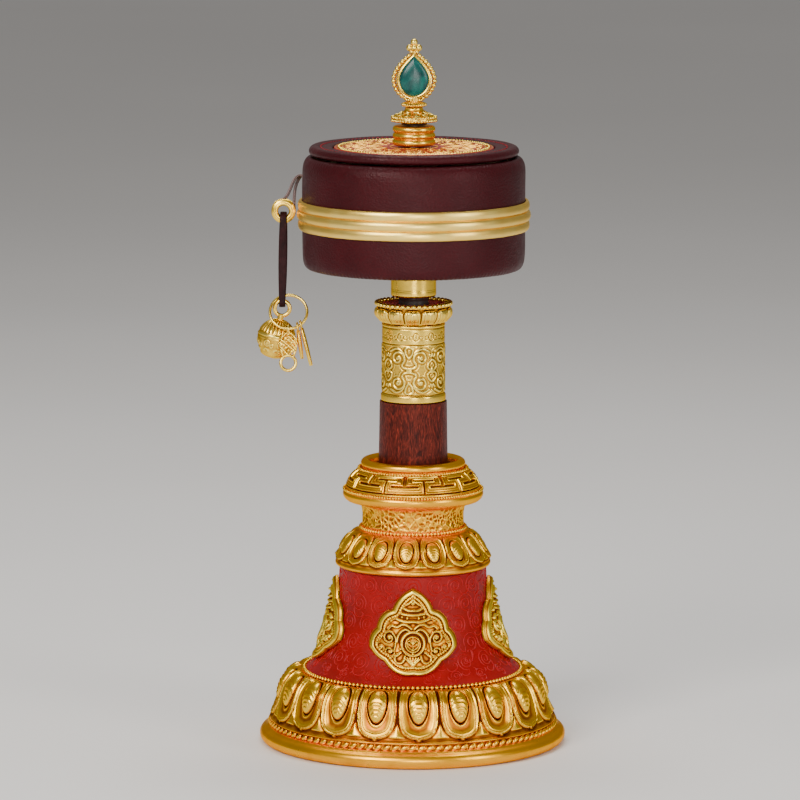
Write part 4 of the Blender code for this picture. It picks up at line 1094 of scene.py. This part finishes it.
def build_ferrule():
    around = FERRULE_MARKS * 32
    outer = smooth_line([(8.3, 195.9), (12.5, 195.9), (12.5, 194.7), (9.05, 194.6), (9.05, 194.6), (9.05, 183.4),
                         (9.05, 183.4), (8.85, 183.0), (9.05, 182.6), (9.05, 181.0), (8.8, 180.4),
                         (8.3, 180.2)], 0.28)
    levels = outer[:, 1]

    def relief(azimuth, distance, radius):
        up = levels - 188.6, np.full_like(radius, 9.0)
        marks = repeated(FERRULE_MARKS, around, radians(4.0), up, ferrule_mark)
        return marks * (levels < 193.0)[:, None] * (levels > 184.4)[:, None]

    inner = [(2.5, 180.2), (2.5, 182.5), (8.0, 182.5), (8.0, 195.9)]
    lathe("drum_neck", outer, inner, around, BRASS, "drum", ["drum_ferrule"], relief, crease=40.0)


# Drum ------------------------------------------------------------------------------------------

def build_drum():
    upper = [(40.3, 235.75), (40.7, 236.05), (41.5, 236.1), (42.4, 235.7), (43.3, 234.8), (43.95, 233.4),
             (44.3, 231.4), (44.4, 228.0), (44.4, 212.0), (44.35, 200.0), (44.2, 195.8), (43.9, 193.8), (43.2, 192.3),
             (41.8, 191.55), (38.0, 191.5), (24.0, 191.55), (9.6, 191.6)]
    outer = smooth_line(upper, 0.8)
    levels, reach = outer[:, 1], outer[:, 0]

    def relief(azimuth, distance, radius):
        slack = 0.07 * np.sin(azimuth * 7.0 + 0.8)[None, :] * np.sin(levels * 0.21)[:, None]
        slack = slack + 0.03 * np.sin(azimuth * 17.0 + levels[:, None] * 0.35)
        gathers = np.sin(azimuth * 150.0 + 2.0 * np.sin(azimuth * 11.0))
        fold = 0.07 * ridge(np.abs(levels - 235.6), 1.2) * (reach > 41.5) + 0.09 * ridge(np.abs(levels - 192.0), 1.2)
        return (slack + gathers[None, :] * fold[:, None]) * step_up(reach, 41.3, 42.6)[:, None]

    lathe("leather_cover", outer, [(9.5, 192.5), (42.2, 192.5), (42.2, 235.65), (40.3, 235.65)], 900, LEATHER,
          "drum", ["leather_wrap"], relief)
    rib = (218.8 - 207.2) / 3
    ribs = []
    for i, (crest, low) in enumerate(((46.15, 45.2), (46.6, 45.4), (46.15, 45.2))):
        middle = 218.8 - (i + 0.5) * rib
        angles = np.linspace(radians(82.0), radians(-82.0), 15)
        ribs += [(low + (crest - low) * cos(a), middle + 0.5 * rib * sin(a)) for a in angles]
    outer = np.array([(44.7, 218.75), (45.1, 218.8)] + ribs + [(45.1, 207.2), (44.7, 207.25)])

    def waver(azimuth, distance, radius):
        wave = 0.022 * np.sin(azimuth * 9.0 + 1.0) + 0.012 * np.sin(azimuth * 31.0)
        return wave[None, :] * np.sin(distance * 0.9 + 0.4)[:, None]

    lathe("brass_hoop", outer, [], 360, SATIN, "drum", ["drum_band"], waver, crease=35.0)
    outward = Vector((cos(STUD_AZIMUTH), sin(STUD_AZIMUTH), 0.0))
    place = Matrix.Translation(outward * 44.7 + Vector((0.0, 0.0, 226.6)))
    place = place @ outward.to_track_quat("Z", "Y").to_matrix().to_4x4()
    stud = smooth_line([(0.05, 1.5), (1.3, 1.48), (1.9, 1.15), (2.3, 0.8), (2.5, 0.1)], 0.15)
    lathe("tether_eyelet", stud, [(2.5, 0.0), (0.05, 0.0)], 48, BRASS, "drum", ["tether_stud"],
          place=place)


# Lid and finial --------------------------------------------------------------------------------

LID_MOTIFS = 12
SEAM_R = 37.1
STITCHES = 118


def disc_motif(u, v):
    """One part of the filigree: a pair of scrolls under a leaf. v runs outward from the nut."""
    lines = []
    for flip in (0.66, -0.66):
        lines.append([(flip * x, y) for x, y in spiral(3.4, 14.2, 2.7, 250.0, -1.5)])
        lines.append([(0.0, 3.4), (flip * 1.7, 5.2), (flip * 1.5, 7.8), (flip * 0.3, 10.0), (0.0, 11.2)])
        lines.append([(flip * 3.8, 10.0), (flip * 4.9, 8.2), (flip * 3.8, 6.6), (flip * 2.8, 7.6)])
        lines.append([(0.0, 18.4), (flip * 1.7, 17.0), (flip * 1.5, 15.2), (0.0, 13.8)])
        lines.append([(flip * 5.6, 18.2), (flip * 6.9, 17.0), (flip * 8.0, 18.0)])
        lines.append([(flip * 7.0, 15.6), (flip * 7.3, 13.0), (flip * 6.2, 11.0)])
    away = nearest(flat(u, v), line_samples(lines)).reshape(u.shape)
    return 0.50 * ridge(away, 0.52)


def build_lid():
    outer = smooth_line([(32.3, 239.3), (32.5, 239.75), (33.4, 239.95), (36.4, 239.98), (37.1, 239.8), (37.8, 240.1),
                         (39.3, 240.4), (40.8, 240.1), (41.65, 239.1), (41.75, 238.1), (41.3, 237.2), (40.4, 236.7),
                         (39.95, 236.65)], 0.3)
    reach = outer[:, 0]

    def relief(azimuth, distance, radius):
        puckers = np.sin(azimuth * 118.0)
        by_seam = 0.06 * ridge(np.abs(reach - SEAM_R), 1.5)
        slack = 0.03 * np.sin(azimuth * 9.0 + 1.0)[None, :] * (reach > 37.5)[:, None]
        return puckers[None, :] * by_seam[:, None] + slack

    lathe("lid_cover", outer, [(39.9, 238.9), (32.3, 238.9)], 720, LEATHER, "lid", ["lid_leather"], relief)
    stitches = []
    for i in range(STITCHES):
        start, end = (i + 0.14) * tau / STITCHES, (i + 0.80) * tau / STITCHES
        path = []
        for t in np.linspace(0.0, 1.0, 7):
            angle = start + (end - start) * t
            path.append((SEAM_R * sin(angle), -SEAM_R * cos(angle), 239.72 + 0.34 * sin(pi * t) ** 0.6))
        stitches.append(tube_mesh(path, 0.27, 6, taper=[0.6, 0.95, 1.0, 1.0, 1.0, 0.95, 0.6]))
    points, faces = joined(stitches)
    make_piece("lid_stitches", points, faces, THREAD, "lid")
    build_lid_disc()
    ribs = []
    rib = (248.4 - 240.6) / 3
    for i in range(3):
        middle = 248.4 - (i + 0.5) * rib
        ribs += [(7.45 + 1.05 * cos(a), middle + 0.49 * rib * sin(a)) for a in np.linspace(1.45, -1.45, 11)]
    outer = np.array([(3.1, 248.3), (6.9, 248.35)] + ribs + [(7.0, 240.65), (3.1, 240.6)])
    lathe("ribbed_nut", outer, [], 144, BRASS, "lid_nut_ring", ["lid_nut"], crease=32.0)


def build_lid_disc():
    around = LID_MOTIFS * 72
    radii = np.concatenate([np.linspace(3.1, 8.6, 8), np.arange(8.9, 31.5, 0.26), [31.6, 31.8, 31.85]])
    ground = 239.75
    line = np.array([(r, ground) for r in radii])
    line[-1] = (31.85, 239.3)
    line[-2] = (31.8, 239.7)

    def relief(azimuth, distance, radius):
        motif = repeated(LID_MOTIFS, around, 0.0, (radius - 9.0, radius), disc_motif)
        height = motif * ((radius > 9.8) & (radius < 27.9))[:, None]
        twist = 0.42 + 0.12 * np.sin(azimuth * 110.0 + radius[:, None])
        height = np.maximum(height, ridge(np.abs(radius - 28.5), 0.5)[:, None] * twist)
        edge = 0.35 * ridge(np.abs(radius - 31.3), 0.45)[:, None]
        boss = 0.5 * ridge(np.abs(radius - 9.4), 0.6)[:, None] * (0.8 + 0.2 * np.cos(azimuth * 40.0))[None, :]
        return np.maximum(np.maximum(height, edge), boss)

    item = lathe("lid_filigree", line, [(31.8, 238.9), (3.1, 238.9)], around, FILIGREE, "lid",
                 ["lid_disc"], relief, crease=70.0, depth=0.35)
    place = np.zeros(len(item.data.vertices) * 3)
    item.data.vertices.foreach_get("co", place)
    raised = np.clip((place[2::3] / MM - ground) / 0.4, 0.0, 1.0)
    layer = item.data.attributes.new("raised", "FLOAT", "POINT")
    layer.data.foreach_set("value", raised.astype(np.float32))
    beads("lid_disc_beads", circle_points(132, 29.9, 239.85), 0.58, BRASS, "lid")


def teardrop(half_width, low, widest, top, steps=40):
    """A drop in (x, z): half an ellipse below its widest level and a pointed arch above it."""
    right = []
    for i in range(steps + 1):
        angle = pi / 2 * i / steps
        right.append((half_width * sin(angle), widest - (widest - low) * cos(angle)))
    for i in range(1, steps):
        rise = i / steps
        right.append((half_width * (1 - rise ** 1.8), widest + (top - widest) * rise))
    return right + [(0.0, top)] + [(-x, z) for x, z in reversed(right[1:])]


def drop_path(half_width, low, widest, top, y, step):
    """A closed teardrop line at depth y, evenly spaced."""
    outline = teardrop(half_width, low, widest, top)
    even = smooth_line(outline + outline[:1], step)[:-1]
    return np.stack([even[:, 0], np.full(len(even), y), even[:, 1]], axis=1)


def drop_solid(sections):
    """A closed loft between teardrop sections: (half width, low, widest, top, y)."""
    rings = []
    for half_width, low, widest, top, y in sections:
        outline = np.array(teardrop(half_width, low, widest, top, 24))
        rings.append(np.stack([outline[:, 0], np.full(len(outline), y), outline[:, 1]], axis=1))
    count = len(rings[0])
    points = np.vstack(rings)
    faces = [face[::-1] for face in grid_faces(len(rings), count)]
    faces.append(list(range(count)))
    faces.append(list(range(len(points) - 1, len(points) - 1 - count, -1)))
    return points, faces


def build_setting():
    half = [(6.2, 260.0, 266.6, 275.9, -2.0), (6.7, 259.7, 266.6, 276.2, -1.9), (6.95, 259.5, 266.7, 276.5, -1.2)]
    parts = [drop_solid(half + [(*section[:4], -section[4]) for section in reversed(half)])]
    for side in (-1.0, 1.0):
        bezel = drop_path(6.15, 260.0, 266.8, 276.4, side * 2.35, 0.45)
        parts.append(tube_mesh(bezel, 0.34, 8, closed=True, up=(0.0, 1.0, 0.0)))
        milled = drop_path(6.85, 259.3, 266.7, 276.9, side * 2.0, 0.2)
        pulse = 1.0 + 0.34 * np.sin(np.arange(len(milled)) * tau / 4.0)
        parts.append(tube_mesh(milled, 0.24, 7, closed=True, taper=pulse, up=(0.0, 1.0, 0.0)))
    neck = tube_mesh([(0.0, 0.0, 257.9), (0.0, 0.0, 259.9)], 2.4, 24)
    top = tube_mesh([(0.0, 0.0, 276.2), (0.0, 0.0, 278.9)], 1.1, 16)
    points, faces = joined(parts + [neck, top])
    # The rims are lighter and the body sunk between them darker: painted shade.
    shade = np.where(np.abs(points[:, 1]) > 2.05, 0.25, 0.62)
    make_piece("jewel_mount", points, faces, BRASS, "finial", ["jewel_setting"], {"patina_and_shade": shade},
               crease=40.0)
    row = drop_path(8.1, 258.6, 266.8, 277.7, 0.0, 1.72)
    row = row[(row[:, 2] < 276.3)]
    beads("jewel_beads", row, 0.98, BRASS, "finial")
    beads("jewel_neck_beads", circle_points(16, 3.1, 258.75), 0.6, BRASS, "finial")
    balls = [(0.0, 0.0, 281.5), (-1.75, 0.0, 279.3), (1.75, 0.0, 279.3), (0.0, -1.2, 279.4), (0.0, 1.2, 279.4),
             (-1.05, -0.3, 277.7), (1.05, -0.3, 277.7)]
    beads("crown_cluster", balls, [1.45, 1.42, 1.42, 1.3, 1.3, 0.85, 0.85], BRASS, "finial")
    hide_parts("crown_beads")


def build_stone(name, side, node):
    sections = []
    for share, depth in ((1.0, 1.1), (1.0, 2.0), (0.985, 2.5)):
        sections.append((share, depth))
    for angle in np.linspace(15.0, 86.0, 14):
        sections.append((cos(radians(angle)) ** 0.85, 2.5 + 1.75 * sin(radians(angle))))
    outline = np.array(teardrop(5.8, 260.3, 266.9, 276.1, 30))
    rings = []
    for share, depth in sections:
        rings.append(np.stack([outline[:, 0] * share, np.full(len(outline), side * depth),
                               267.3 + (outline[:, 1] - 267.3) * share], axis=1))
    count = len(outline)
    points = np.vstack(rings)
    faces = grid_faces(len(rings), count)
    faces.append(list(range(count))[::-1])
    faces.append(list(range(len(points) - 1, len(points) - 1 - count, -1))[::-1])
    if side < 0:
        faces = [face[::-1] for face in faces]
    faces = [face[::-1] for face in faces]
    make_piece(name, points, faces, STONE, "finial", [node], crease=55.0)


def dome_petal(u, v):
    """Slim petals with granules on the finial's foot."""
    line = np.abs(np.hypot(u * 1.25, v - 2.7) - 1.8)
    rim = 0.40 * ridge(line, 0.34)
    grain = 0.42 * np.sqrt(np.clip(1.0 - (np.hypot(u, v - 2.6) / 0.7) ** 2, 0.0, 1.0))
    return np.maximum(rim, grain)


def build_finial():
    washer = smooth_line([(2.6, 249.45), (4.9, 249.45), (5.15, 249.1), (4.9, 248.75)], 0.2)
    lathe("shadow_washer", washer, [(2.6, 248.75)], 64, NYLON, "finial_seat", ["finial_washer"])
    around = 10 * 40
    dome = [(0.05, 255.6), (3.3, 255.6), (3.55, 255.2), (3.8, 254.6), (4.9, 253.6), (6.3, 252.9), (7.8, 252.35),
            (8.7, 251.9), (9.0, 251.2), (8.9, 250.5), (8.2, 249.95)]
    outer = smooth_line(dome, 0.2)
    distance = along(outer)
    petal_start = distance[np.argmin(np.abs(outer[:, 1] - 254.6))]

    def relief(azimuth, gone, radius):
        petals = repeated(10, around, radians(10.0), (gone - petal_start, np.maximum(radius, 4.0)), dome_petal)
        keep = step_up(gone, petal_start - 0.2, petal_start + 0.4) * (1.0 - step_up(outer[:, 1], 254.4, 254.9))
        return petals * (keep * (outer[:, 1] > 251.1))[:, None]

    inner = [(2.6, 249.95), (2.6, 254.8), (0.05, 254.8)]
    lathe("finial_foot", outer, inner, around, BRASS, "finial", ["finial_dome"], relief, crease=60.0,
          depth=0.3, reach=3)
    rim_beads = np.vstack([circle_points(44, 8.7, 251.75), circle_points(44, 8.85, 250.55, 0.07)])
    beads("finial_rim_beads", rim_beads, 0.56, BRASS, "finial")
    collar = smooth_line([(0.05, 257.9), (3.2, 257.9), (3.9, 257.7), (4.7, 257.2), (5.0, 256.8), (4.7, 256.4),
                          (3.9, 256.0), (3.6, 255.9)], 0.2)

    def knurl(azimuth, gone, radius):
        return 0.16 * np.cos(azimuth * 34.0)[None, :] * step_up(radius, 4.0, 4.6)[:, None]

    lathe("finial_ring", collar, [(0.05, 255.9)], 340, BRASS, "finial", ["finial_collar"], knurl,
          crease=60.0, depth=0.25, reach=2)
    build_setting()
    build_stone("stone_face", -1.0, "stone_front")
    build_stone("stone_reverse", 1.0, "stone_back")


# Tether, thong and charms ----------------------------------------------------------------------

def build_tether():
    path = smooth_line(TETHER_ROUTE, 0.16)
    sides = 12
    steps = np.arange(len(path))
    angle = np.arange(sides)
    points, faces = tube_mesh(path, TETHER_R, sides)
    wave = np.sin(steps[:, None] * 0.9 + angle[None, :] * tau / sides * 3) * np.sin(
        steps[:, None] * 0.9 - angle[None, :] * tau / sides * 3)
    grow = 1.0 + 0.10 * wave
    centre = np.repeat(path, sides, axis=0)
    points = centre + (points - centre) * grow.reshape(-1, 1)
    # The tone follows the bulge: painted shade in the dips and painted highlight on the crests.
    item = make_piece("tether_braid", points, faces, BRAID, "tether", ["tether_cord"],
                      {"tone": 0.5 + 0.5 * wave})
    grommet_place = Matrix.Translation(GROMMET) @ Matrix.Rotation(radians(90.0), 4, "X")
    outer = smooth_line([(2.2, 1.2), (2.4, 1.75), (2.9, 2.05), (3.6, 2.0), (4.2, 1.75), (4.65, 1.5), (4.8, 1.25),
                         (4.75, 1.0), (3.3, 0.9), (3.25, 0.0), (3.3, -0.9), (4.75, -1.0), (4.8, -1.25), (4.65, -1.5),
                         (4.2, -1.75), (3.6, -2.0), (2.9, -2.05), (2.4, -1.75), (2.2, -1.2)], 0.18)

    def rim_line(azimuth, distance, radius):
        crease = -0.14 * ridge(np.abs(radius - 3.55), 0.3) * (np.abs(outer[:, 1]) > 1.6)
        return np.repeat(crease[:, None], len(azimuth), axis=1)

    lathe("grommet_ring", outer, [(2.2, 0.0)], 120, BRASS, "tether", ["grommet"], rim_line, grommet_place,
          crease=45.0)
    exit_point = [c * MM for c in TETHER_ROUTE[0]]


def thong_line():
    """The strap's middle line, a closed loop over the grommet's lower edge and under the bell's loop."""
    thick = 0.9
    top_r, low_r = 2.4 + thick / 2, 1.6 + thick / 2
    top_c, low_c = GROMMET.z - 3.6, BELL_LOOP.z + 2.9
    right = [(top_r * cos(a), top_c + top_r * sin(a)) for a in np.linspace(pi / 2, 0.0, 9)]
    right += [(top_r, top_c - 2.6), (0.5 * (top_r + low_r), top_c - 7.0), (low_r, top_c - 11.0), (low_r, low_c + 9.0)]
    right += [(low_r * cos(a), low_c + low_r * sin(a)) for a in np.linspace(0.0, -pi / 2, 9)]
    left = [(-y, z) for y, z in reversed(right[:-1])]
    return smooth_line(right + left, 0.35)[:-1]


def build_thong():
    line = thong_line()
    lean = (GROMMET.x - BELL_LOOP.x) / (GROMMET.z - BELL_LOOP.z)
    path = np.stack([GROMMET.x + (line[:, 1] - GROMMET.z) * lean, line[:, 0], line[:, 1]], axis=1)
    fall = np.clip((GROMMET.z - path[:, 2]) / 36.0, 0.0, 1.0)
    width = THONG_WIDTH * (0.86 + 0.34 * np.sin(pi * fall) ** 0.8)
    tangent = np.roll(path, -1, 0) - np.roll(path, 1, 0)
    tangent /= np.linalg.norm(tangent, axis=1)[:, None]
    across = np.array([1.0, 0.0, 0.0])
    out = np.cross(tangent, across)
    out /= np.linalg.norm(out, axis=1)[:, None]
    section = [(-0.5, 0.10), (-0.47, 0.30), (-0.36, 0.44), (-0.12, 0.52), (0.0, 0.46), (0.12, 0.52), (0.36, 0.44),
               (0.47, 0.30), (0.5, 0.10), (0.5, -0.18), (0.46, -0.38), (0.34, -0.47), (0.0, -0.5), (-0.34, -0.47),
               (-0.46, -0.38), (-0.5, -0.18)]
    rings = [path + across * (s * width)[:, None] + out * (t * 0.92) for s, t in section]
    points = np.stack(rings, axis=1).reshape(-1, 3)
    item = make_piece("leather_thong", points, grid_faces(len(path), len(section), close_rows=True), THONG_LEATHER,
                      "strap", ["thong"])
    flip_if_inside_out(item)
    return item, path


def flip_if_inside_out(item):
    """Turns a closed mesh's faces out where its volume is negative."""
    mesh = item.data
    mesh.calc_loop_triangles()
    points = np.array([v.co[:] for v in mesh.vertices])
    triangles = np.array([t.vertices[:] for t in mesh.loop_triangles])
    a, b, c = (points[triangles[:, k]] for k in range(3))
    if np.einsum("ij,ij->i", a, np.cross(b, c)).sum() < 0.0:
        mesh.flip_normals()


def bell_place():
    return Matrix.Translation(BELL_LOOP) @ Matrix.Rotation(BELL_TILT, 4, "Y")


def build_bell():
    centre = -12.1
    ball = [(7.6 * cos(radians(a)), centre + 7.6 * sin(radians(a))) for a in np.linspace(80.0, -38.0, 52)]
    foot = [(5.6, centre - 5.6), (5.0, centre - 6.9), (3.6, centre - 7.7), (1.7, centre - 8.2)]
    outer = np.vstack([[(0.4, centre + 7.75)], ball, smooth_line(foot, 0.3)])
    levels = outer[:, 1] - centre
    around = 24 * 18

    def relief(azimuth, distance, radius):
        shape = np.zeros((len(outer), len(azimuth)))
        cap = step_up(levels, 1.9, 2.5) * (1.0 - step_up(levels, 7.3, 7.7))
        flutes = 0.34 * (np.abs(np.sin(azimuth * 12.0)) ** 0.7) - 0.18
        shape += cap[:, None] * flutes[None, :]
        band = 0.26 * ridge(np.abs(levels - 1.15), 0.8) + 0.12 * ridge(np.abs(levels + 0.1), 0.4)
        shape += band[:, None]
        u = ((azimuth / (tau / 8)) % 1.0 - 0.5) * (tau / 8) * 7.4
        grid_u = np.repeat(u[None, :], len(levels), axis=0)
        grid_v = np.repeat(levels[:, None], len(azimuth), axis=1)
        curl = np.abs(np.hypot(grid_u + 0.7, grid_v + 2.0) - 1.15)
        curl = np.minimum(curl, np.abs(np.hypot(grid_u - 1.5, grid_v + 2.9) - 0.7))
        curl = np.minimum(curl, np.abs(np.hypot(grid_u + 0.7, grid_v + 2.0) - 0.35))
        shape += 0.26 * ridge(curl, 0.42) * ((levels < -0.5) & (levels > -4.4))[:, None]
        hem = -4.75 + 0.45 * np.sin(azimuth * 8.0)
        shape += 0.36 * ridge(np.abs(grid_v - hem[None, :]), 0.42)
        slit = ridge(np.abs(radius[:, None] * np.sin(azimuth - 1.1)[None, :]), 0.45) * (np.cos(azimuth - 1.1) > 0)
        shape -= 0.5 * slit * step_up(-levels, 4.9, 5.4)[:, None]
        return shape

    inner = [(1.7, centre - 7.4), (4.6, centre - 6.0), (6.0, centre - 3.3), (6.7, centre), (5.8, centre + 3.3),
             (3.8, centre + 5.5), (0.4, centre + 6.7)]
    lathe("round_bell", outer, inner, around, BRASS, "bell", ["bell_shell"], relief, bell_place(),
          crease=65.0, depth=0.35, reach=4)
    angle = np.arange(48) * tau / 48
    loop = np.stack([3.0 * np.cos(angle), np.zeros(48), 3.0 * np.sin(angle)], axis=1)
    stem = [(0.0, 0.0, -2.6), (0.0, 0.0, -4.9)]
    points, faces = joined([tube_mesh(loop, 0.72, 12, closed=True, wide=1.1, up=(0.0, 1.0, 0.0)),
                            tube_mesh(stem, 1.25, 20)])
    make_piece("bell_hanger", turned_by(points, bell_place()), faces, BRASS, "bell",
               attributes={"patina_and_shade": np.full(len(points), 0.42)})
    return ["round_bell", "bell_hanger"]


def ring_point(degrees):
    a = radians(degrees)
    up = Vector((0.0, sin(RING_LEAN), cos(RING_LEAN)))
    return RING_CENTRE + RING_R * (cos(a) * Vector((1.0, 0.0, 0.0)) + sin(a) * up)


def build_ring():
    path = [tuple(ring_point(a)) for a in np.arange(0.0, 360.0, 3.75)]
    axis = Vector((1.0, 0.0, 0.0)).cross(Vector((0.0, sin(RING_LEAN), cos(RING_LEAN))))
    points, faces = tube_mesh(path, 0.6, 12, closed=True, wide=0.92, up=tuple(axis))
    make_piece("split_ring", points, faces, BRASS, "ring", ["jump_ring"],
               {"patina_and_shade": np.full(len(points), 0.36)})
    return ["split_ring"]


def build_knot():
    """Openwork charm: a woven lattice in a lobed frame, granules on the crossings, a loop below."""
    half = [(0.0, -1.2), (1.5, -2.3), (2.9, -3.9), (3.15, -6.0), (2.9, -8.2), (2.3, -10.2), (1.9, -11.2)]
    lines = mirrored([half])
    lines += [[(2.9, -4.2), (0.2, -6.6), (-2.7, -9.0)], [(-2.9, -4.2), (-0.2, -6.6), (2.7, -9.0)]]
    lines += mirrored([[(0.1, -2.9), (2.0, -4.9), (2.9, -6.6)], [(0.0, -10.6), (1.6, -8.8), (2.8, -7.2)]])
    lines += [[(-1.6, -3.2), (1.3, -5.6), (2.6, -7.9)], [(1.6, -3.2), (-1.3, -5.6), (-2.6, -7.9)]]
    parts = []
    for k, line in enumerate(lines):
        fine = smooth_line(line, 0.3)
        depth = 0.22 * np.sin(np.arange(len(fine)) * 0.62 + k * 1.9)
        path = np.column_stack([fine, depth])
        parts.append(tube_mesh(path, 0.52, 8))
    angle = np.arange(40) * tau / 40
    loop = np.stack([3.0 * np.cos(angle), -13.6 + 3.0 * np.sin(angle), np.zeros(40)], axis=1)
    parts.append(tube_mesh(loop, 0.62, 9, closed=True))
    grains = [(0.0, -4.6), (0.0, -6.6), (0.0, -8.6), (1.6, -6.6), (-1.6, -6.6), (2.2, -3.0), (-2.2, -3.0),
              (1.9, -11.2), (-1.9, -11.2), (0.0, -2.2)]
    parts.append(bead_mesh([(x, y, 0.35) for x, y in grains], 0.52))
    parts.append(bead_mesh([(x, y, -0.35) for x, y in grains], 0.46))
    eye = np.stack([np.zeros(24), 1.35 * np.cos(angle[:24] * 40 / 24), 1.35 * np.sin(angle[:24] * 40 / 24)], axis=1)
    parts.append(tube_mesh(eye, 0.42, 8, closed=True))
    points, faces = joined(parts)
    # Lighter on the front and back faces, darker deep in the openwork: painted shade.
    shade = np.clip(0.62 - 0.42 * np.abs(points[:, 2]), 0.15, 0.9)
    place = Matrix.Translation(ring_point(270.0)) @ Matrix.Rotation(radians(90.0 - 13.0), 4, "X")
    make_piece("lattice_charm", turned_by(points, place), faces, BRASS, "knot", ["knot_charm"],
               {"patina_and_shade": shade}, crease=60.0)
    return ["lattice_charm"]


def build_leaf(name, body, node, degrees, tilt, length):
    """A slim leaf: an eyelet on the ring, then a blade with a raised midrib."""
    rows = 34
    blade = []
    for i in range(rows + 1):
        t = i / rows
        down = 1.5 + (length - 1.5) * t
        half = 0.40 + 2.2 * sin(pi * min(1.0, t * 1.02) ** 0.8) ** 0.8 * (1.0 - 0.25 * t)
        half = max(0.18, half if t < 0.999 else 0.18)
        blade.append((down, half))
    section = [(-1.0, 0.0), (-0.92, 0.30), (-0.5, 0.58), (-0.12, 0.70), (0.0, 0.82), (0.12, 0.70), (0.5, 0.58),
               (0.92, 0.30), (1.0, 0.0), (0.92, -0.30), (0.5, -0.58), (0.12, -0.70), (0.0, -0.82), (-0.12, -0.70),
               (-0.5, -0.58), (-0.92, -0.30)]
    points = []
    for k, (down, half) in enumerate(blade):
        notch = 1.0 - 0.07 * (k % 3 == 0)
        points += [(s * half * notch, -down, t * (0.75 + 0.25 * half / 2.0)) for s, t in section]
    blade_faces = [face[::-1] for face in loft_faces(rows + 1, len(section))]
    angle = np.arange(24) * tau / 24
    eyelet = np.stack([1.5 * np.cos(angle), 1.5 * np.sin(angle), np.zeros(24)], axis=1)
    parts = [(np.array(points), blade_faces), tube_mesh(eyelet, 0.4, 8, closed=True)]
    points, faces = joined(parts)
    turn = Matrix.Rotation(-tilt, 4, "Y") @ Matrix.Rotation(radians(90.0), 4, "Z")
    place = Matrix.Translation(ring_point(degrees)) @ turn @ Matrix.Rotation(radians(90.0), 4, "X")
    item = make_piece(name, turned_by(points, place), faces, BRASS, body, [node],
                      {"patina_and_shade": np.full(len(points), 0.40)}, crease=60.0)
    flip_if_inside_out(item)
    return [name]


def build_charms():
    build_tether()
    strap, path = build_thong()
    hung = build_bell() + build_ring() + build_knot()
    hung += build_leaf("long_leaf", "leaf_one", "leaf_a", 312.0, radians(14.0), 17.0)
    hung += build_leaf("short_leaf", "leaf_two", "leaf_b", 299.5, radians(8.0), 13.0)
    start = [c * MM for c in path[0]]


# Pieces that keep their CAD shape ----------------------------------------------------------------

def finish_inner_nodes():
    """The working pieces inside keep their CAD shape and get a finished material."""
    finishes = {
        FELT: ["socket_liner", "felt_pad"],
        STEEL: ["tie_rod", "rod_washer", "rod_nut", "spindle", "lower_bearing_inner", "lower_bearing_outer",
                "lower_balls", "upper_bearing_inner", "upper_bearing_outer", "upper_balls", "bell_pellet"],
        NYLON: ["bottom_plate"],
        BRASS: ["pommel_cap"],
        BOARD: ["core_tube", "drum_cup", "lid_board"],
        PAPER: ["mantra_roll"],
    }
    for finish, names in finishes.items():
        for name in names:
            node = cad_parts[name]
            node.data.materials.clear()
            node.data.materials.append(finish)


# Floor and light ---------------------------------------------------------------------------------

def soft_light(name, place, size, power, colour, aim=(0.0, 0.0, 0.14)):
    data = bpy.data.lights.new(name, "AREA")
    data.shape = "RECTANGLE"
    data.size, data.size_y = size
    data.energy = power
    data.color = colour
    lamp = bpy.data.objects.new(name, data)
    lamp.location = place
    lamp.rotation_euler = (Vector(aim) - Vector(place)).to_track_quat("-Z", "Y").to_euler()
    bpy.context.scene.collection.objects.link(lamp)


def build_studio():
    bpy.ops.mesh.primitive_circle_add(vertices=96, radius=40.0, fill_type="NGON")
    floor = bpy.context.active_object
    floor.name = "studio_floor"
    floor.data.materials.append(floor_paint())
    world = bpy.data.worlds.new("studio")
    world.use_nodes = True
    background = world.node_tree.nodes["Background"]
    background.inputs["Color"].default_value = (1.0, 0.97, 0.94, 1.0)
    background.inputs["Strength"].default_value = 0.26
    bpy.context.scene.world = world
    soft_light("key", (-0.70, -1.15, 0.95), (0.7, 0.7), 20.0, (1.0, 0.96, 0.90))
    soft_light("fill", (1.05, -0.85, 0.55), (0.4, 0.8), 7.0, (1.0, 0.97, 0.93))
    soft_light("front", (0.10, -1.5, 0.34), (0.34, 0.5), 6.0, (1.0, 0.97, 0.92))
    soft_light("top", (0.0, 0.35, 1.25), (0.8, 0.5), 9.0, (1.0, 0.98, 0.96))


make_camera()
build_charms()
build_stand()
build_grip()
build_sleeve()
build_collar()
build_small_turned()
build_ferrule()
build_drum()
build_lid()
build_finial()
finish_inner_nodes()
build_studio()
